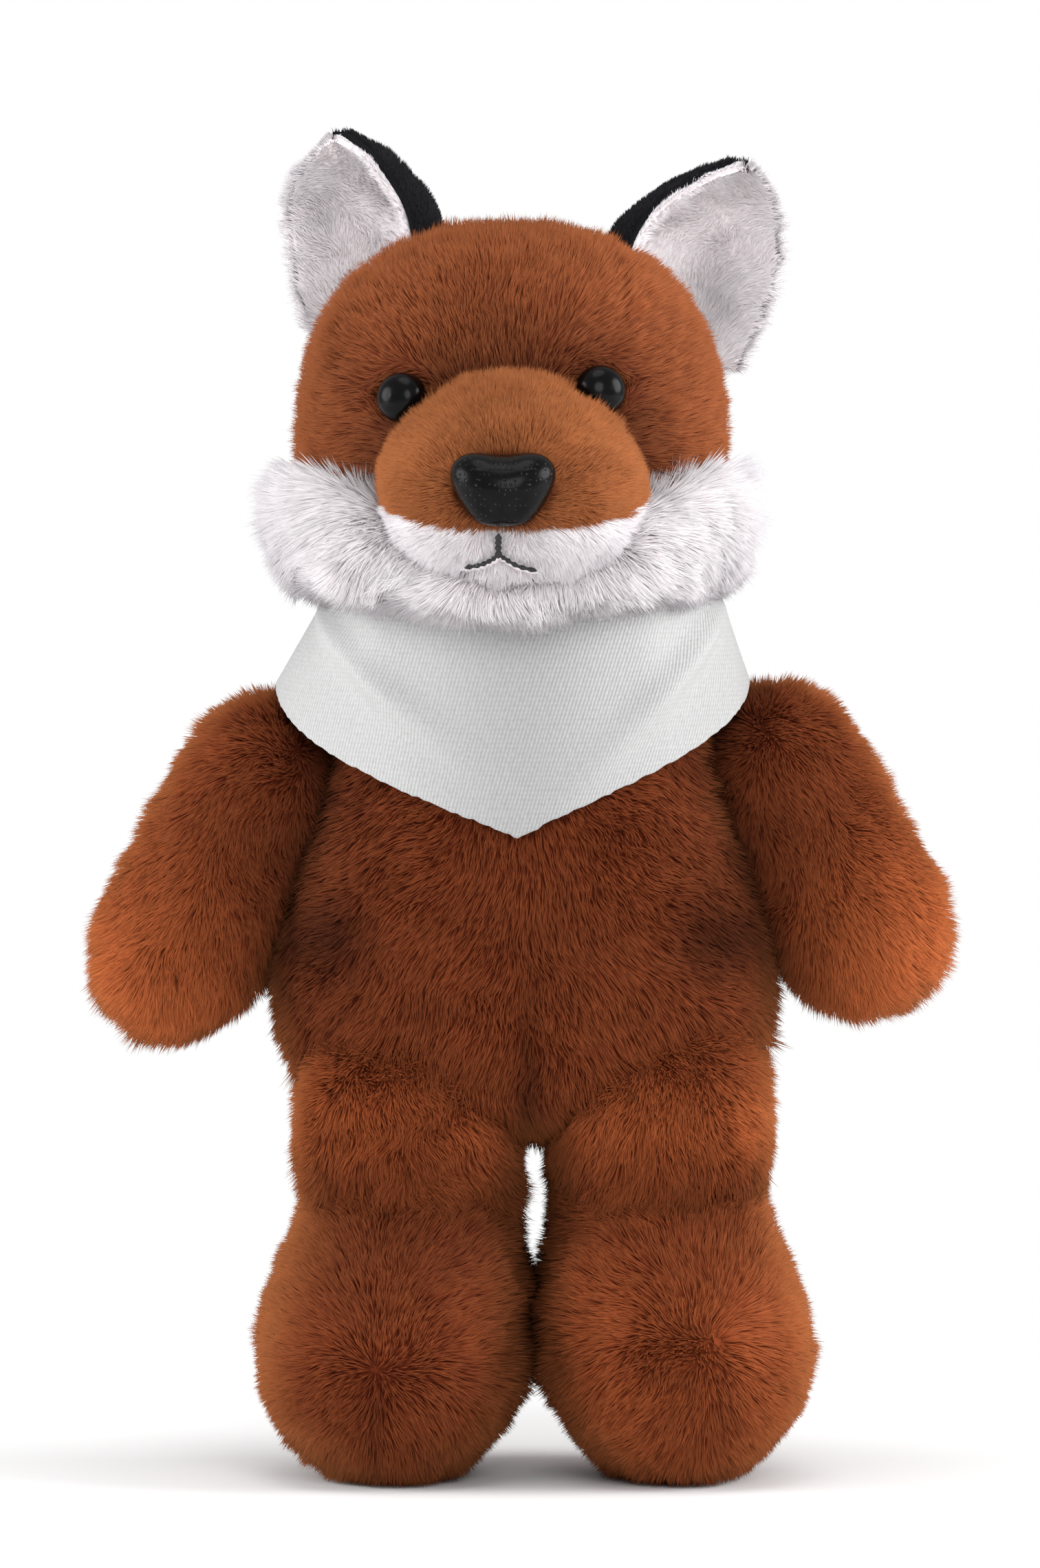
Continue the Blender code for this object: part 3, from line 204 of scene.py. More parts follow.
def strands(roots, normals, flow, length, lean, width, seed, clump=2.6 * MM, pull=0.3):
    """Pile as three-sided spikes: each leaves its root between the normal and the flow along the skin, turned
    by smooth ripples so that neighbours lie alike, and its tip is drawn towards the middle of its own tuft.
    A tuft is one cell of a warped cubic grid, and sines of the cell's numbers shift its middle."""
    rng = np.random.default_rng(seed)
    count = len(roots)
    flow = flow - normals * np.einsum("ij,ij->i", flow, normals)[:, None]
    bend = 0.42 * ripple(roots, 26 * MM, seed + 1) + 0.34 * ripple(roots, 9 * MM, seed + 2)
    bend = bend + 0.16 * rng.normal(size=(count, 3))
    bend = bend - normals * np.einsum("ij,ij->i", bend, normals)[:, None]
    way = unit(normals + lean * (unit(flow) + bend))
    reach = length * rng.uniform(0.72, 1.12, count) * (1 + 0.12 * ripple(roots, 7 * MM, seed + 3)[:, 0])
    tips = roots + way * reach[:, None]
    warped = roots / clump + 0.6 * ripple(roots, 8 * MM, seed + 4)
    cell = np.floor(warped)
    mixing = np.array([[127.1, 269.5, 419.2], [311.7, 183.3, 371.9], [74.7, 246.1, 53.3]])
    hashed = np.modf(np.sin(cell @ mixing) * 43758.5453)[0]
    centre = roots + (cell + 0.5 + 0.3 * hashed - warped) * clump
    draw = centre - roots
    draw = draw - normals * np.einsum("ij,ij->i", draw, normals)[:, None]
    tips = tips + draw * pull
    way = unit(tips - roots)
    side = unit(np.cross(way, rng.normal(size=(count, 3))))
    other = np.cross(way, side)
    base = roots - normals * 0.6 * MM
    half = (width / 2 * rng.uniform(0.75, 1.25, count))[:, None]
    turns = np.array([0, 2 * np.pi / 3, 4 * np.pi / 3])
    foot = [base + half * (np.cos(turn) * side + np.sin(turn) * other) for turn in turns]
    points = np.stack(foot + [tips], 1).reshape(-1, 3)
    first = 4 * np.arange(count)[:, None, None]
    faces = (first + np.array([[0, 1, 3], [1, 2, 3], [2, 0, 3]])).reshape(-1, 3)
    tuft = np.abs(hashed[:, 0])
    shade = 0.7 * rng.random(count) ** 3 + 0.3 * tuft
    lay = unit(normals + 0.35 * way)
    return points, faces, np.repeat(shade, 4), np.tile([0.0, 0.0, 0.0, 1.0], count), np.repeat(lay, 4, axis=0)


def pile_piece(name, form, pile, material, tone=None):
    """One mesh of a skin and its pile. Each spike has a small cell of the OFBake map to itself, and the skin
    is laid out in the map's lowest quarter by its turn and height. The tone is painted shade and light: it
    says how much darker or lighter each point is drawn."""
    skin, faces = form
    tufts, tuft_faces, shade, along, lay = pile
    points = np.vstack([skin, tufts])
    all_faces = np.vstack([faces, tuft_faces + len(skin)])
    mesh = mesh_of(name, points, all_faces)
    normals = corner_normals(skin, faces)
    put(mesh, "shade", np.concatenate([np.full(len(skin), 0.4), shade]))
    put(mesh, "along", np.concatenate([np.full(len(skin), 0.1), along]))
    put(mesh, "tone", np.ones(len(points)) if tone is None else tone(points))
    put(mesh, "lay", np.vstack([normals, lay]), "FLOAT_VECTOR")
    count = len(tufts) // 4
    columns = int(math.ceil(math.sqrt(count * 4 / 3)))
    lines = int(math.ceil(count / columns))
    cell = np.arange(count)
    corner = np.stack([cell % columns / columns, 0.25 + 0.75 * (cell // columns) / lines], 1)
    size = np.array([1 / columns, 0.75 / lines])
    spots = corner[:, None] + size * np.array([[0.15, 0.15], [0.5, 0.15], [0.85, 0.15], [0.5, 0.85]])[None]
    low, high = skin.min(axis=0), skin.max(axis=0)
    shared = (skin - low) / (high - low)
    turn = np.arctan2(shared[:, 0] - 0.5, shared[:, 1] - 0.5) / (2 * np.pi) + 0.5
    flat = np.stack([turn * 0.98 + 0.01, shared[:, 2] * 0.23 + 0.01], 1)
    places = np.vstack([flat, spots.reshape(-1, 2)])
    chart = places[all_faces.ravel()].ravel().astype(np.float32)
    mesh.uv_layers.new(name="OFBake").data.foreach_set("uv", chart)
    return piece_of(name, mesh, material)


def mesh_of(name, points, faces):
    """A mesh of triangles, all shaded smooth."""
    mesh = bpy.data.meshes.new(name)
    mesh.vertices.add(len(points))
    mesh.vertices.foreach_set("co", np.asarray(points, np.float32).ravel())
    mesh.loops.add(faces.size)
    mesh.loops.foreach_set("vertex_index", faces.ravel().astype(np.int32))
    mesh.polygons.add(len(faces))
    mesh.polygons.foreach_set("loop_start", np.arange(0, faces.size, 3, dtype=np.int32))
    mesh.polygons.foreach_set("use_smooth", np.ones(len(faces), bool))
    mesh.update(calc_edges=True)
    return mesh


def put(mesh, name, values, kind="FLOAT"):
    """Store one value or vector for each point."""
    field = "value" if kind == "FLOAT" else "vector"
    mesh.attributes.new(name, kind, "POINT").data.foreach_set(field, np.asarray(values, np.float32).ravel())


def piece_of(name, mesh, material):
    """An object in the scene that shows the mesh in the material."""
    mesh.materials.append(material)
    piece = bpy.data.objects.new(name, mesh)
    bpy.context.scene.collection.objects.link(piece)
    return piece


def node(tree, kind, values=(), **settings):
    """Add a shader node, with its settings, and set or link its inputs."""
    made = tree.nodes.new(kind)
    for key, value in settings.items():
        setattr(made, key, value)
    for key, value in dict(values).items():
        if isinstance(value, bpy.types.NodeSocket):
            tree.links.new(value, made.inputs[key])
        else:
            made.inputs[key].default_value = value
    return made


def blank_material(name):
    """A new material, with its node tree and its shader."""
    made = bpy.data.materials.new(name)
    made.use_nodes = True
    return made, made.node_tree, made.node_tree.nodes["Principled BSDF"]


def pile_look():
    """The colour and shading normal of pile: dark at the roots, its own colour along most of a strand and
    lighter at the tip, with each tuft and each patch of the toy a little lighter or darker. The tone
    attribute is
    painted shade and light: it scales the value, and above one it also mixes the colour towards the tip."""
    look = bpy.data.node_groups.new("pile look", "ShaderNodeTree")
    for name, kind in (("Root", "NodeSocketColor"), ("Body", "NodeSocketColor"), ("Tip", "NodeSocketColor"),
                       ("Patches", "NodeSocketFloat")):
        look.interface.new_socket(name, in_out="INPUT", socket_type=kind)
    for name, kind in (("Color", "NodeSocketColor"), ("Normal", "NodeSocketVector")):
        look.interface.new_socket(name, in_out="OUTPUT", socket_type=kind)
    given = node(look, "NodeGroupInput")
    along = node(look, "ShaderNodeAttribute", attribute_name="along").outputs["Fac"]
    shade = node(look, "ShaderNodeAttribute", attribute_name="shade").outputs["Fac"]
    tone = node(look, "ShaderNodeAttribute", attribute_name="tone").outputs["Fac"]
    lay = node(look, "ShaderNodeAttribute", attribute_name="lay").outputs["Vector"]
    place = node(look, "ShaderNodeTexCoord").outputs["Object"]
    wide = node(look, "ShaderNodeTexNoise", {"Vector": place, "Scale": 42.0, "Detail": 3.0, "Roughness": 0.6})
    low = node(look, "ShaderNodeMapRange", {"Value": along, "From Min": 0.0, "From Max": 0.45})
    high = node(look, "ShaderNodeMapRange", {"Value": along, "From Min": 0.45, "From Max": 1.0})
    body = node(look, "ShaderNodeMix", {"Factor": low.outputs["Result"]}, data_type="RGBA")
    look.links.new(given.outputs["Root"], body.inputs[6])
    look.links.new(given.outputs["Body"], body.inputs[7])
    tipped = node(look, "ShaderNodeMix", {"Factor": high.outputs["Result"]}, data_type="RGBA")
    look.links.new(body.outputs[2], tipped.inputs[6])
    look.links.new(given.outputs["Tip"], tipped.inputs[7])
    # Painted light: where the tone is above one, the colour is mixed towards the tip colour.
    painted_light_mix = node(look, "ShaderNodeMapRange", {"Value": tone, "From Min": 1.0, "From Max": 2.0,
                                                 "To Max": 0.85})
    bright = node(look, "ShaderNodeMix", {"Factor": painted_light_mix.outputs["Result"]}, data_type="RGBA")
    look.links.new(tipped.outputs[2], bright.inputs[6])
    look.links.new(given.outputs["Tip"], bright.inputs[7])
    patch = node(look, "ShaderNodeMapRange", {"Value": wide.outputs["Fac"], "From Min": 0.3, "From Max": 0.7,
                                              "To Min": -1.0, "To Max": 1.0})
    spread = node(look, "ShaderNodeMath", {0: patch.outputs["Result"], 1: given.outputs["Patches"]},
                  operation="MULTIPLY")
    tuft = node(look, "ShaderNodeMapRange", {"Value": shade, "To Min": 0.9, "To Max": 1.35})
    value = node(look, "ShaderNodeMath", {0: tuft.outputs["Result"], 1: spread.outputs["Value"]},
                 operation="ADD")
    toned = node(look, "ShaderNodeMath", {0: value.outputs["Value"], 1: tone}, operation="MULTIPLY")
    final = node(look, "ShaderNodeHueSaturation", {"Value": toned.outputs["Value"]})
    look.links.new(bright.outputs[2], final.inputs["Color"])
    turned = node(look, "ShaderNodeVectorTransform", {"Vector": lay}, vector_type="NORMAL",
                  convert_from="OBJECT", convert_to="WORLD")
    node(look, "NodeGroupOutput", {"Color": final.outputs["Color"], "Normal": turned.outputs["Vector"]})
    return look


PILE_LOOK = pile_look()


def pile_material(name, root, body, tip, patches=0.12, sheen=0.2, rim=(0.85, 0.45, 0.145, 0.045)):
    """Pile of these three colours, with a soft sheen as brushed acrylic has. Where it turns away from the
    eye its colour is mixed towards the rim colour: painted rim light, as if light shone through the tips, and
    painted shade for the white pile, whose rim colour is greyer. The rim is the share mixed there, and that
    colour."""
    made, tree, shader = blank_material(name)
    look = tree.nodes.new("ShaderNodeGroup")
    look.node_tree = PILE_LOOK
    for key, colour in (("Root", root), ("Body", body), ("Tip", tip)):
        look.inputs[key].default_value = (*colour, 1.0)
    look.inputs["Patches"].default_value = patches
    # Painted rim light and shade: towards the silhouette the colour is mixed to the rim colour, lighter for
    # the dark piles and greyer for the white.
    edge = node(tree, "ShaderNodeLayerWeight", {"Blend": 0.4, "Normal": look.outputs["Normal"]})
    cover = node(tree, "ShaderNodeMapRange", {"Value": edge.outputs["Facing"], "From Min": 0.4,
                                              "To Max": rim[0]})
    rimmed = node(tree, "ShaderNodeMix", {"Factor": cover.outputs["Result"]}, data_type="RGBA")
    tree.links.new(look.outputs["Color"], rimmed.inputs[6])
    rimmed.inputs[7].default_value = (*rim[1:], 1.0)
    tree.links.new(rimmed.outputs[2], shader.inputs["Base Color"])
    tree.links.new(look.outputs["Normal"], shader.inputs["Normal"])
    shader.inputs["Roughness"].default_value = 0.9
    shader.inputs["Specular IOR Level"].default_value = 0.15
    shader.inputs["Sheen Weight"].default_value = sheen
    shader.inputs["Sheen Roughness"].default_value = 0.5
    shader.inputs["Sheen Tint"].default_value = (*tip, 1.0)
    return made


X, Y, Z = np.eye(3)
BACK = -18.5 * MM
PILE_DEPTH = 2.9 * MM
russet = pile_material("russet pile", (0.125, 0.022, 0.006), (0.175, 0.032, 0.0085), (0.315, 0.082, 0.025))

torso_rows = np.array([
    (0.7, -18.5, 74 + 125.6 * height, 58.5 * width, 40 * depth) for height, width, depth in (
        (0.000, 0.000, 0.000), (0.024, 0.480, 0.480), (0.080, 0.800, 0.760), (0.150, 0.930, 0.820),
        (0.250, 0.985, 0.860), (0.340, 1.000, 0.900), (0.430, 0.970, 0.950), (0.540, 0.890, 0.980),
        (0.660, 0.810, 0.990), (0.780, 0.770, 0.970), (0.890, 0.735, 0.950), (0.940, 0.660, 0.850),
        (0.995, 0.500, 0.650), (1.000, 0.000, 0.000))
]) * MM
arm_forms = {}
arm_hangs = {}
for side, sign, across, level, length in (("right", -1, -57.0, 157.0, 65.0), ("left", 1, 58.3, 159.5, 61.5)):
    shoulder = np.array([across, -18.5, level]) * MM
    hang = np.array([sign * math.sin(math.radians(27.5)), 0, -math.cos(math.radians(27.5))])
    stations = [(-20.0, 0, 0), (-17.7, 9.4, 9.4), (-10.6, 17.0, 17.0), (0, 20.0, 20.0)]
    stations += [(length * along, 21 * a, 19.5 * b) for along, a, b in (
        (0.18, 0.965, 1.00), (0.36, 0.985, 0.99), (0.54, 1.00, 1.00), (0.70, 0.96, 0.97), (0.83, 0.81, 0.82),
        (0.94, 0.52, 0.53), (1.0, 0, 0))]
    rows = np.array([(*(shoulder + hang * along * MM), a * MM, b * MM) for along, a, b in stations])
    arm_forms[side] = rows, np.cross(hang, Y), Y
    arm_hangs[side] = hang
hip_forms = {}
shaft_forms = {}
foot_forms = {}
for side, sign in (("right", -1), ("left", 1)):
    hip_x = 3.2 + sign * 28.4
    shares = np.array([-1, -0.96, -0.8, -0.5, 0, 0.5, 0.8, 0.96, 1])
    radius = 30 * (1 - np.abs(shares) ** 2.6) ** (1 / 2.6)
    rows = np.stack([hip_x + 25.8 * shares, np.full(9, -21.5), np.full(9, 80.0), radius, radius], 1)
    hip_forms[side] = rows * MM, Y, Z
    ankle_x = 3.2 + sign * 27.7
    foot_x = 3.2 + sign * 32.4
    shaft_forms[side] = (np.array([
        (hip_x, -21.5, 92, 20, 20), (hip_x, -21.5, 80, 25.5, 27), (ankle_x, -21.5, 61.5, 23.8, 25),
        (ankle_x, -21.5, 50, 20, 20)]) * MM, X, Y)
    foot_forms[side] = (np.array([
        (ankle_x + (foot_x - ankle_x) * forward, -21.5 - 10 * forward, rise * 68 - 0.5,
         30.4 * width, 40 * length)
        for rise, width, length, forward in (
            (0.000, 0.000, 0.000, 1.00), (0.008, 0.420, 0.540, 1.00), (0.060, 0.600, 0.730, 1.00),
            (0.140, 0.770, 0.870, 1.00), (0.240, 0.920, 0.970, 1.00), (0.400, 1.000, 1.000, 1.00),
            (0.560, 0.980, 0.950, 0.85), (0.720, 0.920, 0.830, 0.50), (0.860, 0.830, 0.680, 0.15),
            (1.000, 0.760, 0.600, 0.00))]) * MM, X, Y)

torso_form = sewn_form(torso_rows, X, Y, inset=PILE_DEPTH)
roots, normals = scatter(torso_form, 94000, 11)
inside = roots[:, 2] > 193 * MM
for form in (*arm_forms.values(), *hip_forms.values()):
    inside |= within(roots, *form, 5.0 * MM)
roots, normals = roots[~inside][:74000], normals[~inside][:74000]
low = climb(roots[:, 2] - 78 * MM, 30 * MM)[:, None]
flow = -Z * (0.4 + 0.6 * low) + 0.5 * np.tanh(roots[:, :1] / (12 * MM)) * X + 0.3 * ripple(roots, 60 * MM, 7)
hips = np.maximum(near(roots, *hip_forms["right"], 4 * MM), near(roots, *hip_forms["left"], 4 * MM))
length = 5.4 * MM * (1 + 0.5 * hips) * np.clip((186 * MM - roots[:, 2]) / (30 * MM), 0.45, 1)


def torso_tone(points):
    """Painted shade: darker along the arms and on the belly's sides under them, in the belly's seam down
    between the thighs, and a little towards the bottom, where little light reaches the roots."""
    dark = 0.0
    for form in arm_forms.values():
        dark = np.maximum(dark, 0.8 * near(points, *form, 13 * MM))
    dark = np.maximum(dark, 0.68 * climb(np.abs(points[:, 0] - 0.7 * MM) - 27 * MM, 14 * MM)
                      * climb(points[:, 2] - 104 * MM, 16 * MM)
                      * climb(148 * MM - points[:, 2], 24 * MM))
    seam = bell(points[:, 0] - 2.0 * MM, 3.2 * MM) * climb(118 * MM - points[:, 2], 34 * MM)
    return (1 - dark) * (1 - 0.6 * seam) * (1 - 0.1 * climb(112 * MM - points[:, 2], 30 * MM))


torso = pile_piece("torso_pile", torso_form,
                   strands(roots, normals, flow, length, 0.85 + 0.5 * hips[:, None], 0.55 * MM, 12),
                   russet, torso_tone)
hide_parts("torso_skin")
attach(torso, "torso")


# Arms. Each arm is a soft paddle of the same russet pile, sewn shut round the paw end and set into the
# shoulder. The pile lies towards the paw, and is longest and lightest there.
for side in ("right", "left"):
    rows, hang = arm_forms[side][0], arm_hangs[side]
    arm_form = sewn_form(*arm_forms[side], around=56, inset=PILE_DEPTH)
    roots, normals = scatter(arm_form, 40000, 21 if side == "right" else 22)
    flow = hang + 0.3 * ripple(roots, 40 * MM, 23)
    whole = np.linalg.norm(rows[-1, :3] - rows[0, :3])
    paw = climb((roots - rows[0, :3]) @ hang / whole - 0.5, 0.4)

    def arm_tone(points, rows=rows, hang=hang, whole=whole):
        """Painted shade beside the body, where the arm lies against it, and lighter towards the paw."""
        along = (points - rows[0, :3]) @ hang / whole
        return (1 - 0.6 * near(points, torso_rows, X, Y, 8 * MM)) * (1 + climb(along - 0.4, 0.55))

    arm = pile_piece("arm_pile_" + side, arm_form,
                     strands(roots, normals, flow, (5.4 + 1.6 * paw) * MM, 0.9, 0.55 * MM,
                             24 if side == "right" else 25), russet, arm_tone)
    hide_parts("arm_skin_" + side)
    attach(arm, "arm_" + side)


# Legs. Each leg is a short stuffed tube, rounded at the hip, sewn to the foot at the ankle crease.
# It is the same russet pile, lying downward.
for side in ("right", "left"):
    hip = sewn_form(*hip_forms[side], around=56, inset=PILE_DEPTH)
    shaft = sewn_form(*shaft_forms[side], around=56, inset=PILE_DEPTH)
    leg_form = np.vstack([hip[0], shaft[0]]), np.vstack([hip[1], shaft[1] + len(hip[0])])
    roots, normals = scatter(hip, 34000, 31 if side == "right" else 32)
    buried = within(roots, *shaft_forms[side], 4.6 * MM) | within(roots, torso_rows, X, Y, 6 * MM)
    more_roots, more_normals = scatter(shaft, 30000, 36 if side == "right" else 37)
    more_buried = within(more_roots, *hip_forms[side], 4.6 * MM)
    more_buried |= within(more_roots, *foot_forms[side], 5 * MM)
    roots = np.vstack([roots[~buried][:20000], more_roots[~more_buried][:20000]])
    normals = np.vstack([normals[~buried][:20000], more_normals[~more_buried][:20000]])
    flow = -Z - 0.35 * Y + 0.3 * ripple(roots, 40 * MM, 33)

    def leg_tone(points, other="left" if side == "right" else "right"):
        """Painted shade beside the other leg, and painted light on the thigh, more on the left leg, on the
        side of the brighter light.
        """
        dark = np.maximum(near(points, *hip_forms[other], 7 * MM), near(points, *shaft_forms[other], 7 * MM))
        bright = bell(points[:, 2] - 82 * MM, 12 * MM) * np.where(points[:, 0] > 3 * MM, 0.55, 0.35)
        return (1 - 0.55 * dark) * (0.95 + bright)

    ankle = near(roots, *foot_forms[side], 4 * MM)
    leg = pile_piece("leg_pile_" + side, leg_form,
                     strands(roots, normals, flow, (5.4 + 2.6 * ankle) * MM, 0.9 + 0.4 * ankle[:, None],
                             0.55 * MM, 34 if side == "right" else 35), russet, leg_tone)
    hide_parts("leg_skin_" + side)
    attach(leg, "leg_" + side)


# Feet. Each foot is a round boot of russet pile with a level sole, seamed down the front of the toes.
# The pile lies away from the middle of the toe, and is pressed flat where the toy stands.
for side in ("right", "left"):
    foot_form = sewn_form(*foot_forms[side], around=60, inset=2.4 * MM)
    foot_form[0][:, 2] = np.maximum(foot_form[0][:, 2], 1.2 * MM)
    roots, normals = scatter(foot_form, 56000, 41 if side == "right" else 42)
    buried = within(roots, *shaft_forms[side], 4.6 * MM)
    roots, normals = roots[~buried][:46000], normals[~buried][:46000]
    toe = np.array([-32.0, -66, 27] if side == "right" else [45.5, -66, 32]) * MM
    away = np.linalg.norm((roots - toe)[:, [0, 2]], axis=1)[:, None]
    flow = unit(roots - toe) * np.clip(away / (20 * MM), 0.3, 1) - 0.4 * Z + 0.3 * ripple(roots, 40 * MM, 43)
    beside = near(roots, *foot_forms["left" if side == "right" else "right"], 8 * MM)
    beside = beside * climb(50 * MM - roots[:, 2], 8 * MM) * climb(roots[:, 2] - 18 * MM, 10 * MM)
    tufts = strands(roots, normals, flow, (4.9 + 8 * beside) * MM,
                    (0.55 + 0.35 * climb(away, 22 * MM)) * (1 - 0.7 * beside[:, None]), 0.55 * MM,
                    44 if side == "right" else 45)
    tufts[0][:, 2] = np.maximum(tufts[0][:, 2], 0.1 * MM)

    def foot_tone(points, toe=toe, other="left" if side == "right" else "right"):
        """Painted shade beside the other foot and higher up towards the ankle, and the left foot drawn
        lighter than the right as painted light from its side; darker along the seam under the toe and lighter
        at the toe.
        """
        seam = bell(points[:, 0] - toe[0], 2.0 * MM) * climb(toe[2] - points[:, 2], 6 * MM)
        upper = climb(points[:, 2] - 36 * MM, 20 * MM)
        middle = bell(np.linalg.norm((points - toe)[:, [0, 2]], axis=1), 14 * MM)
        return ((1 - 0.65 * near(points, *foot_forms[other], 8 * MM)) * (1 - 0.2 * seam)
                * (1.05 - 0.2 * upper) * (1 + 0.1 * middle) * (0.88 if toe[0] < 0 else 1.14))

    foot = pile_piece("foot_pile_" + side, foot_form, tufts, russet, foot_tone)
    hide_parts("foot_skin_" + side)
    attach(foot, "leg_" + side)


# Head. The head is a sewn ball of the same russet pile, cut flat where it meets the neck seam.
# Its pile is brushed away from the muzzle. It is clipped short round the eyes and lies over their rims.
head_rows = np.array([
    (-2.0, -21.5, 190 + 93.5 * height, 49.2 * width, 45 * depth) for height, width, depth in (
        (0.000, 0.000, 0.000), (0.020, 0.420, 0.420), (0.085, 0.680, 0.680), (0.170, 0.850, 0.850),
        (0.280, 0.960, 0.960), (0.410, 1.000, 1.000), (0.540, 1.000, 1.000), (0.660, 0.965, 0.965),
        (0.770, 0.880, 0.890), (0.870, 0.730, 0.750), (0.940, 0.540, 0.560), (0.985, 0.300, 0.320),
        (1.000, 0.000, 0.000))
]) * MM
muzzle_rows = np.array([
    (-1.6, -48.5 - 48 * along, 226 - 5 * along, 30.2 * width, 25.2 * height) for along, width, height in (
        (0.00, 0.00, 0.00), (0.02, 0.90, 0.92), (0.25, 1.00, 1.00), (0.48, 0.99, 0.96), (0.68, 0.89, 0.83),
        (0.85, 0.66, 0.62), (0.96, 0.34, 0.32), (1.00, 0.00, 0.00))
]) * MM
head_form = sewn_form(head_rows, X, Y, inset=PILE_DEPTH)
head_form[0][:, 2] = np.maximum(head_form[0][:, 2], 201.5 * MM)
roots, normals = scatter(head_form, 96000, 51)
eye_places = {"right": (-26.2 * MM, 243.4 * MM), "left": (17.8 * MM, 245.0 * MM)}
hidden = within(roots, muzzle_rows, X, Z, 5 * MM) | (roots[:, 2] < 204 * MM)
near_eye = np.ones(len(roots))
for x, z in eye_places.values():
    away = np.hypot(roots[:, 0] - x, roots[:, 2] - z)
    ahead = roots[:, 1] < BACK
    hidden |= (away < 4.4 * MM) & ahead
    near_eye = np.where(ahead, np.minimum(near_eye, np.clip(away / (10 * MM), 0.42, 1)), near_eye)
roots, normals, near_eye = roots[~hidden][:78000], normals[~hidden][:78000], near_eye[~hidden][:78000]
low = climb(212 * MM - roots[:, 2], 8 * MM)
flow = unit(roots - np.array([-2, -60, 232]) * MM) + 0.25 * ripple(roots, 45 * MM, 53)
flow = flow - 1.6 * low[:, None] * Z
for x, z in eye_places.values():
    from_eye = (roots - np.array([x, 0, z])) * np.array([1, 0, 1])
    away = np.linalg.norm(from_eye, axis=1)
    ring = bell(away - 5.8 * MM, 1.7 * MM) * (roots[:, 1] < BACK)
    flow = flow - (2.4 * ring / away)[:, None] * from_eye
    near_eye = np.maximum(near_eye, 0.74 * ring)
head_russet = pile_material("head russet pile", (0.14, 0.027, 0.009), (0.195, 0.045, 0.0145),
                            (0.37, 0.112, 0.038), rim=(0.65, 0.40, 0.12, 0.04))


def head_tone(points):
    """Painted shade round the eyes, above the muzzle and at the right side, away from the brighter light, and
    a little lighter on the crown.
    """
    ahead = points[:, 1] < BACK
    dark = 0.5 * near(points, muzzle_rows, X, Z, 9 * MM)
    for x, z in eye_places.values():
        away = np.hypot(points[:, 0] - x, points[:, 2] - z)
        dark = np.maximum(dark, 0.5 * bell(away, 9 * MM) * ahead)
    crown = climb(points[:, 2] - 256 * MM, 12 * MM)
    return (1 - dark) * (1 - 0.15 * climb(-28 * MM - points[:, 0], 12 * MM)) * (1 + 0.1 * crown)


head = pile_piece("head_pile", head_form,
                  strands(roots, normals, flow, (4.8 * near_eye + 2.8 * low) * MM, 0.9, 0.44 * MM, 54,
                          clump=2.2 * MM, pull=0.2), head_russet, head_tone)
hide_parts("head_skin")
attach(head, "head")


# Muzzle. An upper panel of light russet pile and a white lower one, sewn together along the lip and filled.
# The pile is short and lies back from the nose, and is parted along the mouth's stitching.
light_russet = pile_material("light russet pile", (0.17, 0.044, 0.014), (0.26, 0.074, 0.024),
                             (0.45, 0.155, 0.052), patches=0.1, rim=(0.5, 0.46, 0.15, 0.05))
white = pile_material("white pile", (0.86, 0.78, 0.80), (0.95, 0.88, 0.90), (0.98, 0.94, 0.96),
                      patches=0.02, rim=(0.6, 0.80, 0.75, 0.81))
MUZZLE_DEPTH = 2.6 * MM
muzzle_form = sewn_form(muzzle_rows, X, Z, around=64, inset=MUZZLE_DEPTH)
aside = (muzzle_form[0][:, 0] + 1.6 * MM) / (30 * MM)
above = climb(muzzle_form[0][:, 2] - 225 * MM, 25 * MM)
corner = np.clip(4 * aside ** 2 * above ** 2, 0, 1) * np.where(aside > 0, 3.0, 1.6) * MM
muzzle_form[0][:, 0] -= 0.7 * corner * np.sign(aside)
muzzle_form[0][:, 2] -= 0.7 * corner
seam_way = np.array([0, -math.sin(math.radians(11)), math.cos(math.radians(11))])
seam_place = np.array([0, -96.5, 214.6]) * MM
nose_place = np.array([-3.7, -94, 223.6]) * MM


def muzzle_half(form, sign):
    """The half of the muzzle on one side of its seam: points past the seam are set back onto it."""
    points, faces = form
    points = points.copy()
    above = (points - seam_place) @ seam_way * sign
    past = np.minimum(above - 0.15 * MM, 0)
    points = points - past[:, None] * sign * seam_way
    return points, faces


mouth_lines = [through(np.array(way) * MM, 12) for way in (
    ((-4.7, 213.4), (-4.75, 211.3), (-4.7, 208.8)),
    ((-4.7, 209.2), (-6.2, 208.0), (-8.6, 206.9), (-11.9, 206.2)),
    ((-4.7, 209.2), (-3.2, 208.2), (-0.4, 206.6), (3.4, 205.6)))]


def muzzle_tone(points):
    """Darker in a ring round the nose."""
    away = np.linalg.norm((points - nose_place)[:, [0, 2]] / np.array([1.3, 1.0]), axis=1)
    return 1 - 0.35 * bell(np.maximum(away - 7 * MM, 0), 3.5 * MM) * (points[:, 1] < -80 * MM)


def from_stitches(points):
    """How far each point is from the mouth's stitching, seen from the front."""
    stitched = np.vstack(mouth_lines)
    return np.sqrt(((points[:, None, [0, 2]] - stitched[None]) ** 2).sum(axis=2)).min(axis=1)


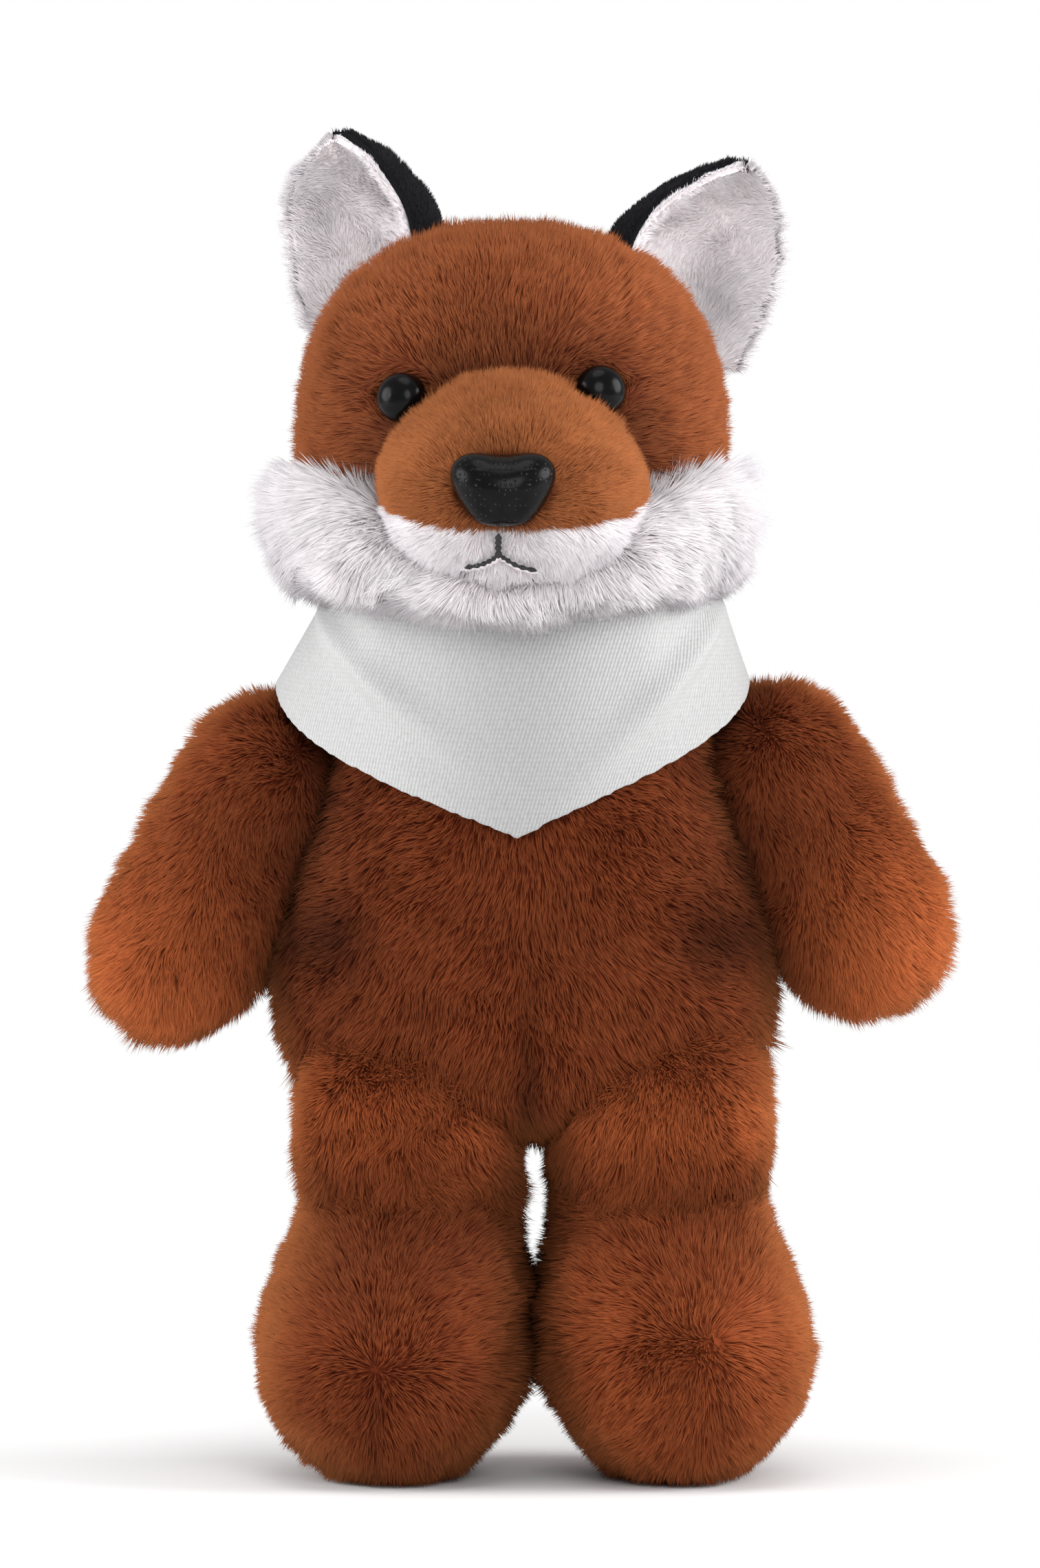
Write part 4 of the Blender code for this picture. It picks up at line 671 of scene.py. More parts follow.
muzzle_form[0][:, 1] += (1.6 * MM * bell(from_stitches(muzzle_form[0]), 3.4 * MM)
                         * (muzzle_form[0][:, 1] < -70 * MM))
for name, sign, stuff, count in (("muzzle_top", 1, light_russet, 40000), ("muzzle_chin", -1, white, 22000)):
    roots, normals = scatter(muzzle_form, 3 * count, 61 + sign)
    lip = (roots - seam_place) @ seam_way * sign
    hidden = (lip < 0.1 * MM) | within(roots, head_rows, X, Y, 5 * MM)
    hidden |= (((roots - nose_place)[:, [0, 2]] / np.array([10.0, 6.8]) / MM) ** 2).sum(axis=1) < 1
    gap = from_stitches(roots)
    hidden |= (gap < 0.75 * MM) & (roots[:, 1] < -70 * MM)
    roots, normals, gap = roots[~hidden][:count], normals[~hidden][:count], gap[~hidden][:count]
    flow = unit(roots - np.array([-2, -100, 221]) * MM)
    flow = flow + (0.2 if sign > 0 else 0.5) * ripple(roots, 14 * MM, 63)
    cheek = climb(roots[:, 1] + 80 * MM, 12 * MM) * climb(roots[:, 2] - 230 * MM, 8 * MM)
    cheek = cheek * climb(np.abs(roots[:, 0] + 1.6 * MM) - 8 * MM, 6 * MM)
    crown = climb(roots[:, 2] - 238 * MM, 8 * MM)
    length = (3.4 + 1.8 * cheek + 1.2 * crown + 0.8 * (sign < 0)) * np.clip(gap / (5 * MM), 0.6, 1) * MM
    panel = pile_piece(name + "_pile", muzzle_half(muzzle_form, sign),
                       strands(roots, normals, flow, length, 0.8, 0.37 * MM, 64 + sign, clump=2.0 * MM,
                               pull=0.2), stuff, muzzle_tone)
    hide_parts(name)
    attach(panel, "head")


# Cheek ruff. A crescent of long white pile, sewn round the lower head from cheek to cheek.
# It is brushed outward and down, and stands up a little at its two corners.
angle = np.radians(112) * np.linspace(-1, 1, 21)
sideways = np.where(np.abs(angle) < np.pi / 2, np.abs(np.sin(angle)), 1.0)
end = np.ones(21)
end[[0, 1, 2, -3, -2, -1]] = (0.0, 0.55, 0.85, 0.85, 0.55, 0.0)
ruff_rows = np.stack([-2 + 45.0 * np.sin(angle), -18.5 - 50 * np.cos(angle), 200.2 + 14.8 * sideways,
                      (11 - 4.6) * end, (10 + 8 * sideways - 5.4) * end, np.sin(angle), -np.cos(angle)], 1)
ruff_rows[:, :5] *= MM
curve = through(ruff_rows, 6)
turn = np.linspace(0, 2 * np.pi, 48, endpoint=False)
out = unit(np.stack([curve[:, 5], curve[:, 6], 0 * curve[:, 5]], 1))
wide, high = np.maximum(curve[1:-1, 3:5, None, None], 0).transpose(1, 0, 2, 3)
rings = (curve[1:-1, None, :3] + wide * np.cos(turn)[None, :, None] * out[1:-1, None]
         + high * np.sin(turn)[None, :, None] * Z)
ruff_form = closed_tube(curve[:1, :3], rings, curve[-1:, :3])
roots, normals = scatter(ruff_form, 66000, 71, back_share=0.8)
hidden = within(roots, head_rows, X, Y, 3 * MM) | within(roots, muzzle_rows, X, Z, 4 * MM)
inner = np.hypot(roots[:, 0] + 2 * MM, roots[:, 1] - BACK) < 41 * MM
hidden |= inner & (normals[:, 2] < 0.3)
roots, normals = roots[~hidden][:48000], normals[~hidden][:48000]
corner = (climb(roots[:, 2] - 214 * MM, 8 * MM)
          * climb(np.abs(roots[:, 0] + 2 * MM) - 36 * MM, 10 * MM))
flow = unit((roots - np.array([-2, -18, 0]) * MM) * np.array([1, 0.4, 0])) + 0.25 * ripple(roots, 30 * MM, 72)
under = climb(206 * MM - roots[:, 2], 8 * MM)
flow = flow - (0.6 - 0.9 * corner[:, None] + 0.7 * under[:, None]) * Z
# Painted shade: the tone draws the ruff a little darker towards its top and on its left side, where the
# brighter light falls.
ruff = pile_piece("cheek_ruff_pile", ruff_form,
                  strands(roots, normals, flow, (7.6 + 1.6 * corner - 1.8 * under) * MM, 1.15, 0.6 * MM, 73,
                          clump=2.8 * MM, pull=0.12), white,
                  lambda points: (1 - 0.08 * climb(points[:, 2] - 200 * MM, 8 * MM)
                                  - 0.06 * (points[:, 0] > 12 * MM)))
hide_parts("cheek_ruff")
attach(ruff, "head")


# Ears. Each ear is a black back and a white lining sewn face to face, cupped and set into the head seam.
# The lining's pile is longer and curls over the rim.
black = pile_material("black pile", (0.004, 0.004, 0.005), (0.008, 0.008, 0.010), (0.02, 0.02, 0.023),
                      patches=0.1, sheen=0.03, rim=(0.3, 0.025, 0.024, 0.027))
EAR_COLUMNS = 40
EAR_CLOTH = 1.0 * MM
ear_rows = {
    "right": ((258, 25.4, -41.4), (270, 27.2, -43.3), (281, 28.0, -44.5), (288, 26.2, -45.2),
              (294, 21.0, -44.8), (299.5, 14.0, -43.6), (303.2, 6.5, -42.6), (304.0, 4.4, -42.4)),
    "left": ((250, 24.2, 41.2), (262, 27.9, 44.5), (274, 30.0, 47.6), (282, 28.0, 48.6), (288, 22.8, 49.6),
             (293.5, 15.2, 50.6), (296.8, 7.2, 51.2), (297.5, 4.8, 51.3)),
}


def sheet_faces(rows, cols):
    """The triangles of a sheet with a wall, whose points are two grids of rows and columns: two in each
    cell of the first grid, the same turned round for the second, and a band that joins them round the
    edge."""
    index = np.arange(rows * cols).reshape(rows, cols)
    a, b, c, d = (part.ravel() for part in (index[:-1, :-1], index[:-1, 1:], index[1:, 1:], index[1:, :-1]))
    front = np.vstack([np.stack([a, b, c], 1), np.stack([a, c, d], 1)])
    edge = np.concatenate([index[0, :], index[1:, -1], index[-1, -2::-1], index[-2:0:-1, 0]])
    after = np.roll(edge, -1)
    band = np.vstack([np.stack([edge, edge + rows * cols, after + rows * cols], 1),
                      np.stack([edge, after + rows * cols, after], 1)])
    return np.vstack([front, front[:, ::-1] + rows * cols, band])


def ear_sheet(side, inset, inner, outer):
    """A cupped sheet: at each level an arc of an oval from the inner to the outer turn in degrees, open
    outward and forward, and drawn in by the inset. Returns the closed form, and the way that its cup
    opens."""
    sign = -1 if side == "right" else 1
    turned = math.radians(58 if side == "right" else 52)
    opening = np.array([sign * math.sin(turned), -math.cos(turned), 0])
    across = np.array([sign * math.cos(turned), math.sin(turned), 0])
    curve = through(ear_rows[side], 7) * MM
    arc = np.radians(np.linspace(-inner, outer, EAR_COLUMNS))
    rise = np.linspace(0, 1, len(curve))
    arm = np.sin(arc)[:, None] * across - np.cos(arc)[:, None] * opening
    arm = arm * np.array([1, 0.6, 1])
    sheets = []
    for depth in (inset, inset + EAR_CLOTH):
        reach = np.maximum(curve[:, 1] - depth / 0.75, 1.2 * MM)
        middle = np.stack([curve[:, 2], np.full(len(curve), BACK + 4 * MM), curve[:, 0] - depth * rise], 1)
        sheets.append(middle[:, None] + reach[:, None, None] * arm[None])
    points = np.concatenate([sheet.reshape(-1, 3) for sheet in sheets])
    return outward(points, sheet_faces(len(curve), EAR_COLUMNS)), opening


def rim_ways(arc, opening, beside):
    """For points at these turns round the cup, the way over the nearer rim and the way out of the cup: the
    cup's two level ways, turned by as much."""
    turn = np.radians(arc)[:, None]
    over = np.sign(turn) * (np.cos(turn) * beside + np.sin(turn) * opening)
    return over, np.sin(turn) * beside - np.cos(turn) * opening


def around_ear(points, side, opening, beside):
    """The turn of each point round the cup's own middle line, in degrees: none at the cup's floor, and
    positive towards the rim that stands away from the head."""
    rows = np.array(ear_rows[side])
    middle_x = np.interp(points[:, 2], rows[:, 0] * MM, rows[:, 2] * MM)
    middle = np.stack([middle_x, np.full(len(points), BACK + 4 * MM)], 1)
    out = (points[:, :2] - middle) / np.array([1, 0.6])
    return np.degrees(np.arctan2(out @ beside[:2], -out @ opening[:2]))


# Each ear lining's painted light and shade: the base, then the x and z of the shaded hollow in mm, its width,
# height and depth.
ear_cup_shading = {"right": (1.04, -44, 285, 5, 10, 0.2), "left": (1.06, 44.8, 266, 7.5, 12, 0.42)}
for side in ("right", "left"):
    back_form, opening = ear_sheet(side, 0.6 * MM, 72, 58)
    beside = np.cross(opening, Z) * (1 if side == "right" else -1)
    roots, normals = scatter(back_form, 26000, 81, back_share=1.0)
    centre = np.array([-45.5 if side == "right" else 46.5, -14.5, 0]) * MM
    outer = np.einsum("ij,ij->i", normals[:, :2], (roots - centre)[:, :2]) > 0
    keep = outer & ~within(roots, head_rows, X, Y, 4 * MM) & (around_ear(roots, side, opening, beside) < 55)
    roots, normals = roots[keep][:9000], normals[keep][:9000]
    flow = Z + 0.2 * ripple(roots, 20 * MM, 82)
    back = pile_piece("ear_back_pile_" + side, back_form,
                      strands(roots, normals, flow, 1.5 * MM, 1.4, 0.42 * MM, 83, clump=1.6 * MM), black)
    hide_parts("ear_back_" + side)
    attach(back, "head")
    lining_form, opening = ear_sheet(side, 2.1 * MM, 71, 75)
    roots, normals = scatter(lining_form, 46000, 84, back_share=1.0)
    outer = np.einsum("ij,ij->i", normals[:, :2], (roots - centre)[:, :2]) > 0.4 * MM
    arc = around_ear(roots, side, opening, beside)
    edge_band = (arc < -66) & (np.einsum("ij,ij->i", normals, rim_ways(arc, opening, beside)[1]) < 0.5)
    keep = (~outer | (arc > 60) | edge_band) & ~within(roots, head_rows, X, Y, 4 * MM)
    roots, normals = roots[keep][:20000], normals[keep][:20000]
    grid = lining_form[0][:len(lining_form[0]) // 2].reshape(-1, EAR_COLUMNS, 3)
    rng = np.random.default_rng(87)
    for line, count, least, most in ((grid[:, 0], 900, -1.0, -0.2), (grid[:, -1], 3000, -0.4, 0.6)):
        at, share = rng.integers(0, len(line) - 1, count), rng.random((count, 1))
        edge = line[at] * (1 - share) + line[at + 1] * share
        over, out = rim_ways(around_ear(edge, side, opening, beside), opening, beside)
        kept = ~within(edge, head_rows, X, Y, 4 * MM)
        turned = unit(over + rng.uniform(least, most, (count, 1)) * out + 0.3 * Z)
        roots = np.vstack([roots, edge[kept]])
        normals = np.vstack([normals, turned[kept]])

    def lining_tone(points, cup_shading_at=ear_cup_shading[side]):
        """Painted shade in the cup's hollow, whose inner wall faces away from the light: a bell over its
        place, width and height, as deep as the depth; the base lightens the whole lining a little as painted
        light."""
        base, x, z, wide, high, depth = cup_shading_at
        fold = np.exp(-((points[:, 0] / MM - x) / wide) ** 2 - ((points[:, 2] / MM - z) / high) ** 2)
        return base * (1 - depth * fold)

    arc = around_ear(roots, side, opening, beside)
    rim = climb(np.abs(arc) - 42, 22)
    over = rim_ways(arc, opening, beside)[0]
    flow = rim[:, None] * over + (1.1 - 0.6 * rim[:, None]) * Z + 0.3 * opening
    flow = flow + 0.25 * ripple(roots, 16 * MM, 85)
    inner = (arc < -50)[:, None]
    flow = np.where(inner, 1.3 * Z + 0.15 * over + 0.15 * ripple(roots, 5 * MM, 88), flow)
    lean = np.where(inner, 0.75, 1.1 + 0.4 * rim[:, None])
    near_tip = climb(roots[:, 2] / MM - ear_rows[side][-1][0] + 11, 7)
    clipped = 0.62 if side == "right" else 0.3
    length = np.where(arc < -50, 2.2, 2.9 + 0.9 * rim) * (1 - near_tip * clipped) * MM
    lining = pile_piece("ear_lining_pile_" + side, lining_form,
                        strands(roots, normals, flow, length, lean, 0.36 * MM, 86, clump=1.3 * MM, pull=0.03),
                        white, lining_tone)
    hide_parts("ear_lining_" + side)
    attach(lining, "head")


# Tail. A tapering filled tail of russet pile with a white tip sewn on, set into the seam of the back.
# Its pile is long and brushed towards the end.
tail_place = np.array([0.7, 15.5, 96.0]) * MM
tail_way = np.array([0, math.cos(math.radians(18)), math.sin(math.radians(18))])
tail_rows = np.array([(*(tail_place + tail_way * along * MM), radius * MM, radius * MM) for along, radius in (
    (-9, 0), (-7.9, 4.2), (-4.8, 7.6), (0, 9.0), (11.9, 11.1), (27.4, 15.4), (45.6, 18.5), (62, 17.9),
    (75.7, 13.7), (85.7, 7.4), (91.2, 0))])
tail_form = sewn_form(tail_rows, X, np.cross(tail_way, X), around=48, inset=PILE_DEPTH)
cut = tail_place + tail_way * 91.2 * 0.66 * MM
for name, sign, stuff, count in (("tail_skin", -1, russet, 18000), ("tail_tip", 1, white, 9000)):
    points, faces = tail_form
    beyond = (points - cut) @ tail_way * sign
    half = points - np.minimum(beyond - 0.15 * MM, 0)[:, None] * sign * tail_way
    roots, normals = scatter(tail_form, 3 * count, 91 + sign, back_share=1.0)
    keep = (roots - cut) @ tail_way * sign > 0
    roots, normals = roots[keep][:count], normals[keep][:count]
    flow = np.tile(tail_way, (len(roots), 1)) + 0.25 * ripple(roots, 25 * MM, 93)
    tail = pile_piece(name + "_pile", (half, faces),
                      strands(roots, normals, flow, 7.5 * MM, 1.4, 0.6 * MM, 94), stuff)
    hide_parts(name)
    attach(tail, "tail")


# Eyes and nose. Moulded black plastic, each held by a stem and a lock washer inside the head.
# The eyes are plain glossy domes; the nose has a dimpled skin, two nostril pits and a lobed lower edge.
def plastic(name, dimples, polish):
    """Glossy black plastic: dimples is how deep its fine pitting is, and polish how little its gloss
    spreads."""
    made, tree, shader = blank_material(name)
    place = node(tree, "ShaderNodeTexCoord").outputs["Object"]
    spots = node(tree, "ShaderNodeTexVoronoi", {"Vector": place, "Scale": 900.0, "Randomness": 0.35})
    haze = node(tree, "ShaderNodeTexNoise", {"Vector": place, "Scale": 300.0, "Detail": 4.0})
    rough = node(tree, "ShaderNodeMapRange", {"Value": haze.outputs["Fac"], "To Min": 0.30 - 0.2 * polish,
                                              "To Max": 0.42 - 0.2 * polish})
    pit = node(tree, "ShaderNodeMapRange", {"Value": spots.outputs["Distance"], "From Min": 0.0,
                                            "From Max": 0.35})
    bump = node(tree, "ShaderNodeBump", {"Height": pit.outputs["Result"], "Strength": dimples,
                                         "Distance": 0.0002})
    tree.links.new(bump.outputs["Normal"], shader.inputs["Normal"])
    tree.links.new(rough.outputs["Result"], shader.inputs["Roughness"])
    # Painted glints: the colour is drawn a little lighter in the middle of each pit, more where the dimples
    # are deeper.
    painted_glint = node(tree, "ShaderNodeMapRange", {"Value": spots.outputs["Distance"], "From Min": 0.12,
                                              "From Max": 0.2, "To Min": 0.002 + 0.04 * dimples,
                                              "To Max": 0.002})
    tree.links.new(painted_glint.outputs["Result"], shader.inputs["Base Color"])
    shader.inputs["Specular IOR Level"].default_value = 0.12
    return made


def turned_form(profile, place, way):
    """A profile of radius and height pairs, smoothed and turned about a line."""
    way = unit(np.asarray(way, float))
    side = unit(np.cross(way, X if abs(way[0]) < 0.8 else Z))
    rows = np.array([(*(place + way * height), radius, radius) for radius, height in profile])
    return sewn_form(rows, side, np.cross(way, side), around=48, steps=6)


eye_black = plastic("eye plastic", 0.0, 0.8)
nose_black = plastic("nose plastic", 0.6, 0.6)
for side, (x, z) in eye_places.items():
    along = np.interp(z, head_rows[:, 2], np.arange(len(head_rows)))
    a, b = (np.interp(along, np.arange(len(head_rows)), head_rows[:, k]) for k in (3, 4))
    aside = (x + 2.0 * MM) / a
    front = np.array([x, -21.5 * MM - b * math.sqrt(1 - aside ** 2), z])
    way = unit(np.array([aside / a, -math.sqrt(1 - aside ** 2) / b, 0.0]) + 0.1 * Z / (50 * MM))
    dome = turned_form([(0, -3 * MM), (4.6 * MM, -2.6 * MM), (5.5 * MM, -1.2 * MM), (5.6 * MM, 0.6 * MM),
                        (5.2 * MM, 2.2 * MM), (3.9 * MM, 3.8 * MM), (2.0 * MM, 4.7 * MM), (0, 5.0 * MM)],
                       front, way)
    eye = piece_of("eye_dome_" + side, mesh_of("eye_dome_" + side, *dome), eye_black)
    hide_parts("eye_" + side)
    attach(eye, "head")

nose_rows = np.array([
    (-3.7, -94.6 + 0.6 * abs(rise - 0.5), 215.2 + 16.8 * rise, 11.5 * width, 7.5 * depth)
    for rise, width, depth in (
        (0.00, 0.00, 0.00), (0.04, 0.40, 0.50), (0.14, 0.60, 0.75), (0.30, 0.78, 0.93), (0.50, 0.93, 1.00),
        (0.70, 1.00, 0.96), (0.87, 0.90, 0.76), (0.97, 0.62, 0.42), (1.00, 0.00, 0.00))
]) * MM
points, faces = sewn_form(nose_rows, X, Y, around=96, steps=10)
for x, z, deep, wide in ((-6.9, 219.6, 1.0, 2.0), (-0.9, 219.6, 1.0, 2.0),
                         (-3.7, 232.2, 1.7, 4.5), (-3.7, 214.6, 1.2, 1.3)):
    away = ((points[:, [0, 2]] - np.array([x, z]) * MM) ** 2).sum(axis=1) / (wide * MM) ** 2
    points[:, 1] += deep * MM * np.exp(-away) * (points[:, 1] < -92 * MM)
points[:, 2] -= 0.9 * MM * bell(points[:, 0] + 3.7 * MM, 4.5 * MM) * (points[:, 2] > 228 * MM)
nose = piece_of("nose_shell", mesh_of("nose_shell", points, faces), nose_black)
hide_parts("nose")
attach(nose, "head")


# Mouth. Black embroidery thread, stitched down from the nose and out to both sides along the chin panel.
# Each line is one round thread that lies in the parted pile.
def on_muzzle(x, z, lift):
    """The front point of the muzzle's pile at x and z, found by halving a span of y until it meets the
    form."""
    far, near = np.full(len(x), -110 * MM), np.full(len(x), -60 * MM)
    for _ in range(30):
        middle = (far + near) / 2
        met = within(np.stack([x, middle, z], 1), muzzle_rows, X, Z, 0.0)
        far, near = np.where(met, far, middle), np.where(met, middle, near)
    return np.stack([x, near - lift, z], 1)


def thread_tube(path, radius):
    """A round thread along a path, its ends closed to points: its radius falls as a squared cosine between
    stitches."""
    along = unit(np.gradient(path, axis=0))
    side = unit(np.cross(along, Y))
    other = np.cross(along, side)
    turn = np.linspace(0, 2 * np.pi, 10, endpoint=False)
    pinch = radius * (1 - 0.45 * np.cos(np.arange(len(path)) * 0.52) ** 2)
    rings = (path[:, None] + pinch[:, None, None] * (np.cos(turn)[None, :, None] * side[:, None]
                                                     + np.sin(turn)[None, :, None] * other[:, None]))
    return closed_tube(path[:1] - along[:1] * radius, rings, path[-1:] + along[-1:] * radius)


thread, tree, shader = blank_material("black thread")
fuzz = node(tree, "ShaderNodeTexNoise", {"Vector": node(tree, "ShaderNodeTexCoord").outputs["Object"],
                                         "Scale": 2500.0})
tint = node(tree, "ShaderNodeMapRange", {"Value": fuzz.outputs["Fac"], "To Min": 0.004, "To Max": 0.02})
tree.links.new(tint.outputs["Result"], shader.inputs["Base Color"])
shader.inputs["Roughness"].default_value = 0.7
parts = []
for flat, radius in zip(mouth_lines, (0.8 * MM, 0.58 * MM, 0.58 * MM)):
    parts.append(thread_tube(on_muzzle(flat[:, 0], flat[:, 1], 0.3 * MM), radius))
shift = np.cumsum([0] + [len(part[0]) for part in parts])
points = np.vstack([part[0] for part in parts])
faces = np.vstack([part[1] + move for part, move in zip(parts, shift)])
mouth = piece_of("mouth_thread", mesh_of("mouth_thread", points, faces), thread)
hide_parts("mouth_stitch")
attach(mouth, "head")


# Bandana. A plain white twill triangle, its long side folded round the neck, with a slightly frayed cut edge.
# It drapes over the chest and shoulders in shallow folds, and is tied at the nape in a small knot with two
# short ends.
def cloth_point(angle, down):
    """Where the cloth lies at a turn round the neck and a share of the way down: from the fold at the neck,
    which leans in to the nape, straight out to the cut edge, which falls from each shoulder to the tip. Soft
    folds cross it: each is a bell round a turn that moves on the way down."""
    around_neck = np.stack([44.0 * np.sin(angle), -39.5 * np.cos(angle), 0 * angle], -1)
    aside = climb(np.abs(angle), np.radians(88))
    wide = np.where(angle < 0, 55.0, 50.3)
    rise = np.where(angle < 0, 33.6 * aside ** 1.1, 34.4 * aside)
    front = np.stack([np.sign(angle) * wide * np.sin(aside * np.pi / 2) ** 1.15 - 0.8 * (1 - aside),
                      -43 * np.cos(aside * np.radians(81)), 145.2 + rise], -1)
    ease = np.clip((np.abs(angle) - np.radians(88)) / (np.pi - np.radians(88)) * 2, 0, 1)[..., None]
    ease = ease ** 2 * (3 - 2 * ease)
    edge = front * (1 - ease) + (around_neck + Z * 184) * ease
    top = around_neck * (1 - 0.14 * ease) + Z * 198
    point = top * (1 - down[..., None]) + edge * down[..., None]
    fade = np.exp(-(angle / 1.7) ** 4) * np.sin(np.pi * np.clip(down, 0, 1) ** 0.8)
    fold = 0.0
    for start, slope, wide, high in ((-1.55, 1.7, 0.18, 2.8), (-0.85, 0.35, 0.14, 1.2),
                                     (1.4, -1.2, 0.16, 3.0), (0.62, 0.1, 0.12, 1.0),
                                     (1.45, -0.25, 0.12, 1.2)):
        fold = fold + high * bell(angle - start - slope * down, wide)
    ways = unit(np.stack([np.sin(angle), -np.cos(angle), 0 * angle], -1))
    point = point + ways * (fold * fade + 0.9)[..., None]
    return point * MM + np.array([0.7, -18.5, 0]) * MM


last_turn = np.pi - math.radians(2.5)
across, down = np.meshgrid(np.linspace(-last_turn, last_turn, 260), np.linspace(0, 1, 70))
down = down * (1 - 0.012 * np.random.default_rng(101).random(down.shape[1]))
sheet = cloth_point(across, down)
ways = unit(np.cross(np.gradient(sheet, axis=1), np.gradient(sheet, axis=0)))
ways = ways * np.sign(np.einsum("ijk,ijk->ij", ways, sheet - np.array([0, -18.5, 150]) * MM).mean())
rows, cols = sheet.shape[:2]
CLOTH = 0.7 * MM
points = np.concatenate([sheet.reshape(-1, 3), (sheet - ways * CLOTH).reshape(-1, 3)])
cloth_mesh = mesh_of("bandana_cloth", *outward(points, sheet_faces(rows, cols)))
length_along = np.cumsum(np.linalg.norm(np.diff(sheet, axis=1, prepend=sheet[:, :1]), axis=2), axis=1)
length_down = np.cumsum(np.linalg.norm(np.diff(sheet, axis=0, prepend=sheet[:1]), axis=2), axis=0)
from_middle = length_along - length_along[:, cols // 2:cols // 2 + 1]
weave_place = np.stack([from_middle, length_down, 0 * length_down], -1)
put(cloth_mesh, "weave", np.tile(weave_place.reshape(-1, 3), (2, 1)), "FLOAT_VECTOR")
# Painted shade and light: the cloth is drawn darker down its middle and a little on its left side, and
# lighter high on both sides, as its folds would be shaded and lit.
painted_shading = 1.06 - 0.26 * bell(across, 0.45) - 0.1 * np.clip(across, 0, 1)
painted_shading = painted_shading + 0.1 * np.exp(-((np.abs(across) - 0.95) / 0.3) ** 2 - ((down - 0.25) / 0.25) ** 2)
put(cloth_mesh, "painted_shading", np.tile(painted_shading.reshape(-1), 2), "FLOAT")

twill, tree, shader = blank_material("white twill")
weave = node(tree, "ShaderNodeAttribute", attribute_name="weave").outputs["Vector"]
leant = node(tree, "ShaderNodeMapping", {"Vector": weave, "Rotation": (0, 0, math.radians(-16))})
ribs = node(tree, "ShaderNodeTexWave", {"Vector": leant.outputs["Vector"], "Scale": 370.0, "Distortion": 0.8,
                                        "Detail": 1.0, "Detail Scale": 3.0},
            wave_type="BANDS", bands_direction="X")
yarn = node(tree, "ShaderNodeTexWave", {"Vector": weave, "Scale": 300.0, "Distortion": 0.8},
            bands_direction="Y")
cross = node(tree, "ShaderNodeMapRange", {"Value": yarn.outputs["Fac"], "To Min": 0.55, "To Max": 1.0})
slub = node(tree, "ShaderNodeTexNoise", {"Vector": weave, "Scale": 900.0, "Detail": 3.0})
mixed = node(tree, "ShaderNodeMath", {0: ribs.outputs["Fac"], 1: cross.outputs["Result"],
                                      2: slub.outputs["Fac"]}, operation="MULTIPLY_ADD")
tone = node(tree, "ShaderNodeMapRange", {"Value": mixed.outputs["Value"], "From Min": 0.2, "From Max": 1.5,
                                         "To Min": 0.36, "To Max": 0.55})
bump = node(tree, "ShaderNodeBump", {"Height": mixed.outputs["Value"], "Strength": 0.5, "Distance": 0.0003})
painted_shading_node = node(tree, "ShaderNodeAttribute", attribute_name="painted_shading").outputs["Fac"]
grey = node(tree, "ShaderNodeMath", {0: tone.outputs["Result"], 1: painted_shading_node}, operation="MULTIPLY")
colour = node(tree, "ShaderNodeCombineColor",
              {name: grey.outputs["Value"] for name in ("Red", "Green", "Blue")})
tree.links.new(colour.outputs["Color"], shader.inputs["Base Color"])
tree.links.new(bump.outputs["Normal"], shader.inputs["Normal"])
shader.inputs["Roughness"].default_value = 0.85
shader.inputs["Sheen Weight"].default_value = 0.15
bandana = piece_of("bandana_cloth", cloth_mesh, twill)
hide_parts("bandana")
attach(bandana, "torso")
knot_rows = np.array([(0.7 + along * 7.5, 25.2, 190, 4.5 * size, 6 * size) for along, size in (
    (-1, 0), (-0.86, 0.55), (-0.5, 0.95), (0, 0.8), (0.5, 0.95), (0.86, 0.55), (1, 0))]) * MM
knot_form = sewn_form(knot_rows, Y, Z, around=40)
for sign in (-1, 1):
    way = unit(np.array([0.78 * sign, -0.12, -0.62]))
    tie_end = np.array([(*(np.array([0.7 + 4 * sign, 26.5, 187.5]) + way * along), wide, thick)
                        for along, wide, thick in ((0, 0, 0), (0.6, 2.2, 1.0), (4, 3.0, 0.9), (9, 4.4, 0.8),
                                                   (13, 5.2, 0.8), (15.2, 5.0, 0.8), (15.8, 0, 0))]) * MM
    points, faces = sewn_form(tie_end, np.cross(way, Y), Y, around=32)
    knot_form = (np.vstack([knot_form[0], points]), np.vstack([knot_form[1], faces + len(knot_form[0])]))
knot_mesh = mesh_of("bandana_tie", *knot_form)
put(knot_mesh, "weave", knot_form[0], "FLOAT_VECTOR")
put(knot_mesh, "painted_shading", np.ones(len(knot_form[0])), "FLOAT")
knot = piece_of("bandana_tie", knot_mesh, twill)
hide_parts("bandana_knot")
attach(knot, "torso")


# Filling and washers. Loose polyester fibre and plain moulded lock washers, all inside the skins.
# They are kept as the CAD draws them.
def inside_material(name, light, dark, scale, roughness):
    """A dull material that goes from light to dark as smooth noise does."""
    made, tree, shader = blank_material(name)
    cloud = node(tree, "ShaderNodeTexNoise", {"Vector": node(tree, "ShaderNodeTexCoord").outputs["Object"],
                                              "Scale": scale, "Detail": 5.0})
    mixed = node(tree, "ShaderNodeMix", {"Factor": cloud.outputs["Fac"]}, data_type="RGBA")
    mixed.inputs[6].default_value = (*dark, 1)
    mixed.inputs[7].default_value = (*light, 1)
    tree.links.new(mixed.outputs[2], shader.inputs["Base Color"])
    shader.inputs["Roughness"].default_value = roughness
    return made


fibre = inside_material("fibre filling", (0.88, 0.88, 0.86), (0.68, 0.68, 0.67), 160.0, 0.95)
moulded = inside_material("washer plastic", (0.74, 0.74, 0.72), (0.62, 0.62, 0.60), 400.0, 0.4)
for name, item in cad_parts.items():
    if "stuffing" in name or "washer" in name:
        item.data.materials.clear()
        item.data.materials.append(moulded if "washer" in name else fibre)


